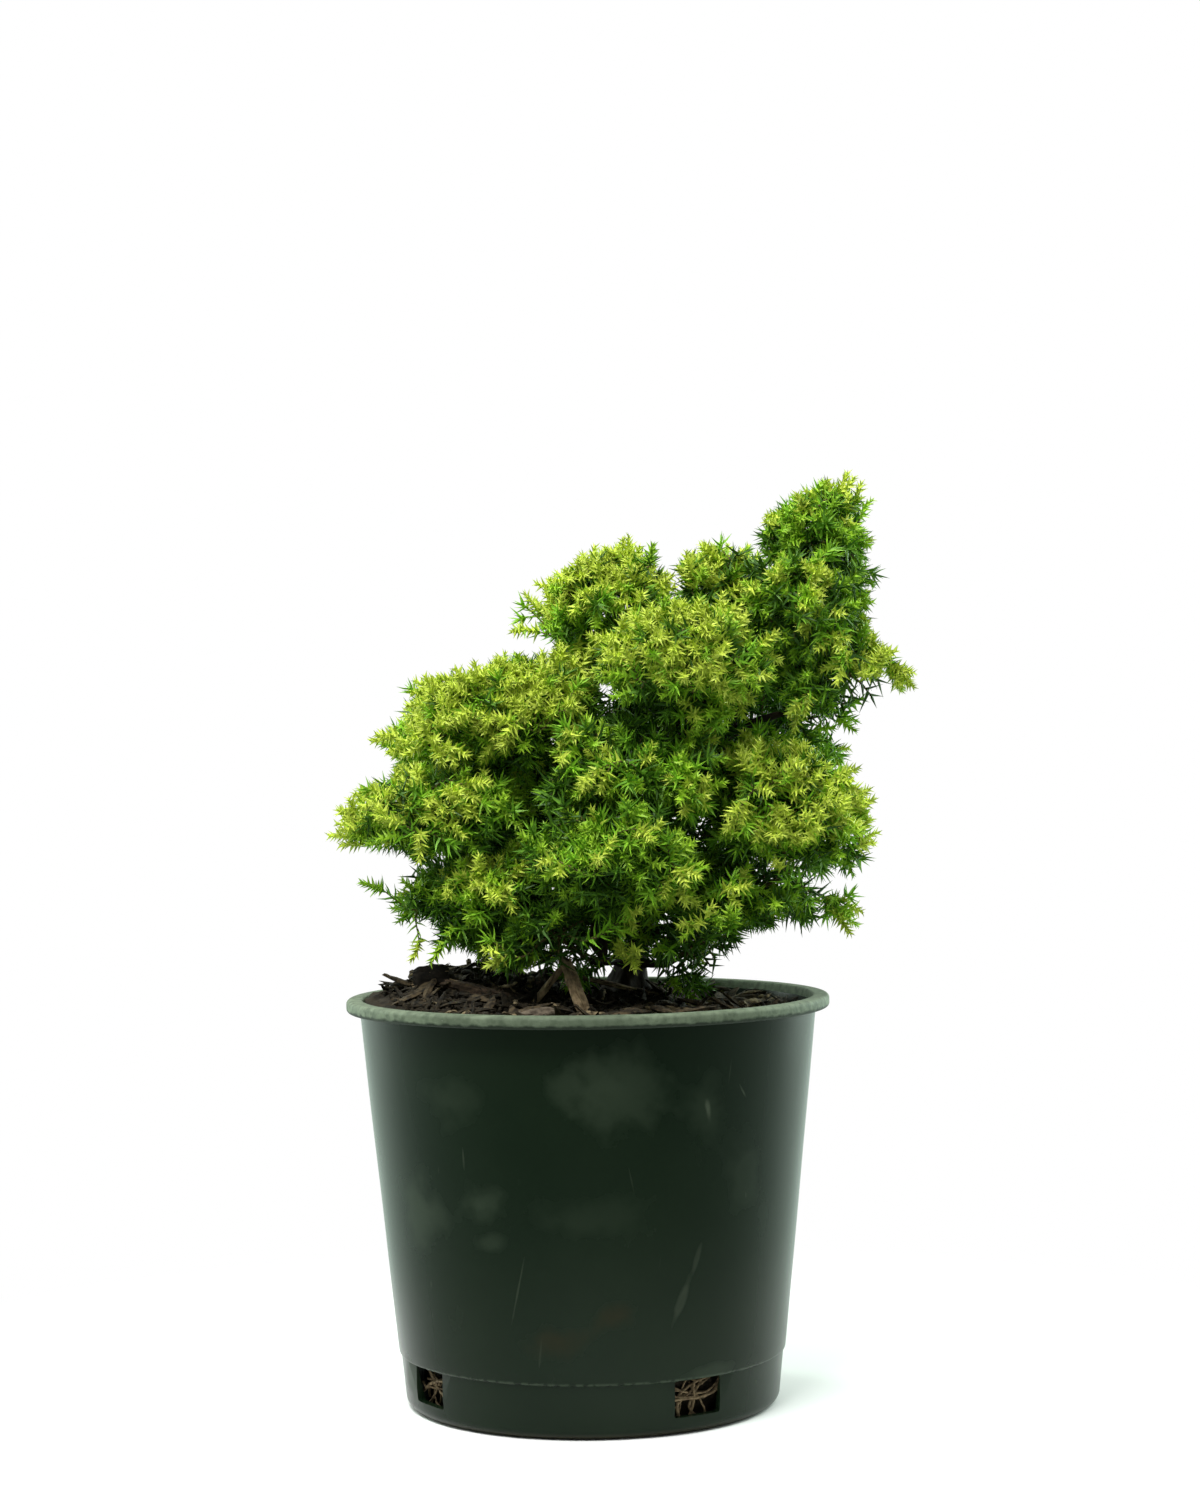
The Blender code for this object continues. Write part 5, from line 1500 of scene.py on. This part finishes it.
def addFibres(centre, axes, spans, strands, rng):
    # loose fibres that run along a bark piece and fray at its ends
    look = barkPieceLook
    length, width, thickness = spans
    for _ in range(look["fibres"]):
        turn = rng.uniform(0, 2 * math.pi)
        first, last = sorted((rng.uniform(-1.06, 1.0), rng.uniform(-1.0, 1.06)))
        if last - first < 0.5:
            continue
        drift, line = rng.uniform(-0.5, 0.5), []
        for i in range(9):
            share = first + (last - first) * i / 8
            stray = 1.0 + 0.18 * abs(share) ** 4 * rng.random()
            around = turn + drift * share
            point = np.array([share * length, math.cos(around) * width * 0.86 * stray,
                              math.sin(around) * thickness * 0.9 * stray])
            line.append(Vector(centre + point @ axes))
        girth = rng.uniform(*look["fibreGirth"])
        strands.add(line, girth, girth * 0.4)


def makeBarkPiece(node, fibres):
    # a torn length of bark in the place and size of its solid, with fibres that run along it
    look = barkPieceLook
    mesh = bpy.data.objects[node].data
    cloud = np.empty(len(mesh.vertices) * 3)
    mesh.vertices.foreach_get("co", cloud)
    cloud = np.unique(cloud.reshape(-1, 3).round(7), axis=0)
    centre = (cloud.max(axis=0) + cloud.min(axis=0)) / 2
    axes = np.linalg.svd(cloud - cloud.mean(axis=0), full_matrices=False)[2]
    axes[2] = np.cross(axes[0], axes[1])
    spans = (cloud - centre) @ axes.T
    lows, highs = spans.min(axis=0), spans.max(axis=0)
    centre = centre + ((lows + highs) / 2) @ axes
    length, width, thickness = (highs - lows) / 2
    addFibres(centre, axes, (length, width, thickness), fibres, random.Random(node))
    shift, wide = Vector((len(node) * 3.7, cloud[0][0] * 900, 5)), look["fibreWidth"]
    points = []
    for i in range(look["stations"]):
        share = 2 * i / (look["stations"] - 1) - 1
        for turn in turnsRound(look["sides"]):
            c, s = math.cos(turn), math.sin(turn)
            across = math.copysign(abs(c) ** look["squareness"], c) * width
            up = math.copysign(abs(s) ** look["squareness"], s) * thickness
            fibre = Vector((share * length / look["fibreLength"], across / wide, up / wide))
            ridge = noise.noise(fibre + shift) + 0.5 * noise.noise(fibre * 2.3 - shift)
            broken = noise.noise(Vector((across, up, 0)) / (1.5 * wide) + shift) * look["tear"] * 2
            along = share * length * (1 - look["tear"] + broken * abs(share) ** 6)
            narrow = 1 - 0.30 * abs(share) ** 5 + 0.16 * noise.noise(Vector((share * 2.2, 0, 0)) + shift)
            rub = 1 + ridge * look["ridge"] / max(thickness, 0.8 * mm)
            inside = min(narrow, 1.0)
            point = np.array([along, across * inside * min(rub, 1.08), up * inside * min(rub, 1.2)])
            points.append(tuple(centre + point @ axes))
    first, *others = node.split("_")
    name = first + "".join(word.capitalize() for word in others)
    colour, patch = look["colours"].get(node, look["plainColours"])
    finish = makeMottledFinish(node + "Finish", dict(look["finish"], colour=colour, patch=patch))
    piece = meshFrom(name, points, tubeFaces(look["stations"], look["sides"]), finishes=[finish])
    keepSmooth(piece, "bark_mulch", node, sharpFrom=50)


def makeBarkPieces(limbTree):
    fibres = Strands()
    for node in barkNodes:
        makeBarkPiece(node, fibres)
    finish = makeMottledFinish("looseFibre", barkPieceLook["fibreFinish"])
    keepSmooth(runTree(fibres.build("barkFibres"), limbTree, dict(sides=5, material=finish)), "bark_mulch")
    print("bark pieces", len(barkNodes), "with", fibres.count, "fibres")


rootLook = {
    "seed": 3,
    "perHole": 11,
    "radii": (0.28 * mm, 0.62 * mm),
    "depths": (0.8 * mm, 4.2 * mm),
    "sides": 6,
    "colour": (0.250, 0.185, 0.105),
    "patch": (0.090, 0.062, 0.036),
    "patchScale": 700,
    "roughness": 0.85,
    "specular": 0.2,
    "grainScale": 1500,
    "grainDepth": 0.15 * mm,
}


def makeRoots(limbTree):
    # wiry roots that cross the drain holes just inside the wall
    look, pot = rootLook, potLook
    rng = random.Random(look["seed"])
    roots = Strands()
    bottom, top, half = pot["holeBottom"], pot["holeTop"], pot["holeWidth"] / 2 + 2.5 * mm
    wall = footRadius((top + bottom) / 2) - pot["panelDepth"] - pot["wall"]
    for turn, out in drainHoles():
        along = Vector((math.cos(turn), math.sin(turn), 0))
        for _ in range(look["perHole"]):
            ends = []
            for inward in (1.3, 1, 1, 1.3):
                depth = rng.uniform(*look["depths"]) * inward
                ends.append(out * (wall - depth) + Vector((0, 0, rng.uniform(bottom - mm, top + mm))))
            if rng.random() < 0.55:
                places = [-half, rng.uniform(-half, 0), rng.uniform(0, half), half]
            else:
                places = [rng.uniform(-half, half) for _ in range(4)]
                ends[0].z, ends[3].z = bottom - 1.5 * mm, top + 1.5 * mm
            line = bezier(*[end + along * place for end, place in zip(ends, places)], 14)
            line = [point + Vector([rng.uniform(-0.22, 0.22) * mm for _ in range(3)]) for point in line]
            girth = rng.uniform(*look["radii"])
            roots.add(line, girth, girth * rng.uniform(0.4, 0.9))
    settings = dict(sides=look["sides"], material=makeMottledFinish("rootFibre", look))
    piece = runTree(roots.build("drainRoots"), limbTree, settings)
    keepSmooth(piece, "potting_mix")
    print("roots", roots.count, "with", len(piece.data.polygons), "faces")


leafLook = {
    "base": Vector((2.5, -27, 177)) * mm,
    "tip": Vector((7.0, -31, 163)) * mm,
    "width": 6.4 * mm,
    "cup": 2.2 * mm,
    "thickness": 0.25 * mm,
    "colour": (0.055, 0.036, 0.022),
    "patch": (0.020, 0.013, 0.009),
    "patchScale": 260,
    "roughness": 0.6,
    "specular": 0.35,
    "grainScale": 900,
    "grainDepth": 0.2 * mm,
}


def makeDeadLeaf():
    # a curled brown leaf caught in the twigs at the foot of the crown
    look = leafLook
    along = look["tip"] - look["base"]
    across = Vector((0.9, -0.35, 0.2)).normalized()
    up = along.cross(across).normalized()
    rows, columns = 18, 9
    points, faces = [], []
    for i in range(rows):
        share = i / (rows - 1)
        half = look["width"] / 2 * math.sin(math.pi * min(share * 0.96 + 0.02, 1)) ** 0.8
        for k in range(columns):
            side = 2 * k / (columns - 1) - 1
            curl = look["cup"] * (side * side - 0.3 * math.sin(share * 5) - 0.5 * share * share)
            vein = 0.12 * mm * math.cos(side * 9 + share * 14)
            points.append(look["base"] + along * share + across * (half * side) + up * (curl + vein))
    for i in range(rows - 1):
        for k in range(columns - 1):
            low = i * columns + k
            faces.append((low, low + 1, low + columns + 1, low + columns))
    leaf = meshFrom("deadLeaf", points, faces, finishes=[makeMottledFinish("dryLeaf", look)])
    thicken = leaf.modifiers.new("thickness", "SOLIDIFY")
    thicken.thickness = look["thickness"]
    applyModifiers(leaf)
    keepSmooth(leaf, "bark_mulch")


studioLook = {
    "floorColour": (0.9, 0.9, 0.9),
    "shadowRadius": 0.10,
    "whiteRadius": 0.34,
    "backdrop": (1.0, 1.0, 1.0),
    "backColour": (0.82, 1.0, 0.89),
    "skyColour": (0.96, 1.0, 0.95),
    "floorFront": 0.35,
    "floorBack": 1.45,
    "backStrength": 1.15,
    "skyStrength": 0.82,
    "frontStrength": 0.03,
}
softboxes = {  # place and aim in metres, width and height, power, colour
    "keySoftbox": ((-0.30, -0.55, 1.35), (0.02, 0, 0.22), (0.7, 0.5), 22, (1, 1, 1)),
    "rightSoftbox": ((0.95, 0.70, 0.45), (0, 0, 0.12), (0.4, 1.2), 16, (0.82, 1.0, 0.91)),
    "leftSoftbox": ((-0.95, 0.70, 0.45), (0, 0, 0.12), (0.4, 1.2), 9, (0.84, 1.0, 0.88)),
}
cameraLook = {
    "distance": 1092 * mm,
    "height": 239.6 * mm,
    "turn": math.radians(0.30),
    "tilt": math.radians(0.01),
    "roll": math.radians(-0.78),
    "focalPixels": 2956,
    "longSidePixels": 1500,
    "sensor": 36,
}


def makeCamera():
    look = cameraLook
    data = bpy.data.cameras.new("camera")
    data.sensor_fit, data.sensor_width = "AUTO", look["sensor"]
    data.lens = look["sensor"] * look["focalPixels"] / look["longSidePixels"]
    camera = bpy.data.objects.new("camera", data)
    turn, tilt, roll = look["turn"], look["tilt"], look["roll"]
    forward = Vector((math.sin(turn) * math.cos(tilt), math.cos(turn) * math.cos(tilt), -math.sin(tilt)))
    right = Vector((math.cos(turn), -math.sin(turn), 0))
    up = right.cross(forward)
    rolledRight = right * math.cos(roll) + up * math.sin(roll)
    rolledUp = up * math.cos(roll) - right * math.sin(roll)
    matrix = Matrix((rolledRight, rolledUp, -forward)).transposed().to_4x4()
    matrix.translation = Vector((0, -look["distance"], look["height"]))
    camera.matrix_world = matrix
    scene.collection.objects.link(camera)
    scene.camera = camera


def lightOrBackdrop(tree, kind, tint, strength):
    # lights the plant with a tint, and shows the camera the plain backdrop
    lighting = outOf(tree, kind, {0: tint, 1: strength})
    seen = outOf(tree, kind, {0: rgba(studioLook["backdrop"]), 1: 1.0})
    direct = outOf(tree, "ShaderNodeLightPath", out="Is Camera Ray")
    return outOf(tree, "ShaderNodeMixShader", {0: direct, 1: lighting, 2: seen})


def makeFloor():
    # pale and matt round the pot, and as white as the backdrop further out, so no horizon shows
    look, size = studioLook, 6.0
    material, tree, shader = newFinish("paleFloor", 0.7, 0.3)
    pale, lessPale = rgba(look["floorColour"]), rgba([value * 0.985 for value in look["floorColour"]])
    paint(tree, shader, mottle(tree, pale, lessPale, scale=9.0)["colour"])
    place = objectPlace(tree)
    distance = vectorMath(tree, "LENGTH", place, out="Value")
    fade = mapRange(tree, distance, look["shadowRadius"], look["whiteRadius"], kind="SMOOTHSTEP")
    # the plant and the pot get a greenish light from it, strong at the back and the sides and weak in front
    behind = calc(tree, "DIVIDE", axisOf(tree, place, 1), distance)
    strength = mapRange(tree, behind, -0.85, 0.45, look["floorFront"], look["floorBack"])
    far = lightOrBackdrop(tree, "ShaderNodeEmission", rgba(look["backColour"]), strength)
    whole = outOf(tree, "ShaderNodeMixShader", {0: fade, 1: tree.nodes["Principled BSDF"].outputs[0], 2: far})
    tree.links.new(whole, tree.nodes["Material Output"].inputs[0])
    corners = [(-size, -size, 0), (size, -size, 0), (size, size, 0), (-size, size, 0)]
    meshFrom("floor", corners, [(0, 1, 2, 3)], finishes=[material])


def makeWorld():
    # a white studio: bright above, behind and beside, dim in front so that the pot's middle stays dark
    look = studioLook
    world = bpy.data.worlds.new("studio")
    scene.world = world
    world.use_nodes = True
    tree = world.node_tree
    tree.nodes.clear()
    direction = outOf(tree, "ShaderNodeTexCoord", out="Generated")
    behind, height = axisOf(tree, direction, 1), axisOf(tree, direction, 2)
    back = mapRange(tree, behind, -0.45, 0.35, look["frontStrength"], look["backStrength"])
    above = mapRange(tree, height, 0.15, 0.75, 0.0, look["skyStrength"])
    low = mapRange(tree, height, 0.55, 0.25)
    tint = mixColours(tree, low, rgba(look["skyColour"]), rgba(look["backColour"]))
    light = lightOrBackdrop(tree, "ShaderNodeBackground", tint, calc(tree, "MAXIMUM", back, above))
    tree.links.new(light, addNode(tree, "ShaderNodeOutputWorld").inputs[0])


def makeLight(name, place, target, size, power, colour):
    data = bpy.data.lights.new(name, "AREA")
    data.shape, data.size, data.size_y = "RECTANGLE", size[0], size[1]
    data.energy, data.color = power, colour
    light = bpy.data.objects.new(name, data)
    light.location = place
    light.rotation_euler = (Vector(target) - Vector(place)).to_track_quat("-Z", "Y").to_euler()
    scene.collection.objects.link(light)


def makeStudio():
    makeWorld()
    makeFloor()
    makeCamera()
    for name, settings in softboxes.items():
        makeLight(name, *settings)
    scene.view_settings.view_transform = "Standard"


makeStudio()
print("studio ready")
makePot()
makeMix()
makeMulch()
limbTree = makeLimbTree()
makeBarkPieces(limbTree)
makeRoots(limbTree)
makeDeadLeaf()
barkFinish = makeMottledFinish("cedarBark", barkLook)
boughLines = {name: boughLine(spec) for name, spec in masses.items() if spec["at"] < 1}
makeTrunk(barkFinish)
makeBoughs(barkFinish, boughLines)
print("trunk and", len(boughLines), "boughs")
boughLines["leader"] = [trunkPoint(share) for share in (0.98, 1.0)]
makeFoliage(boughLines, limbTree)
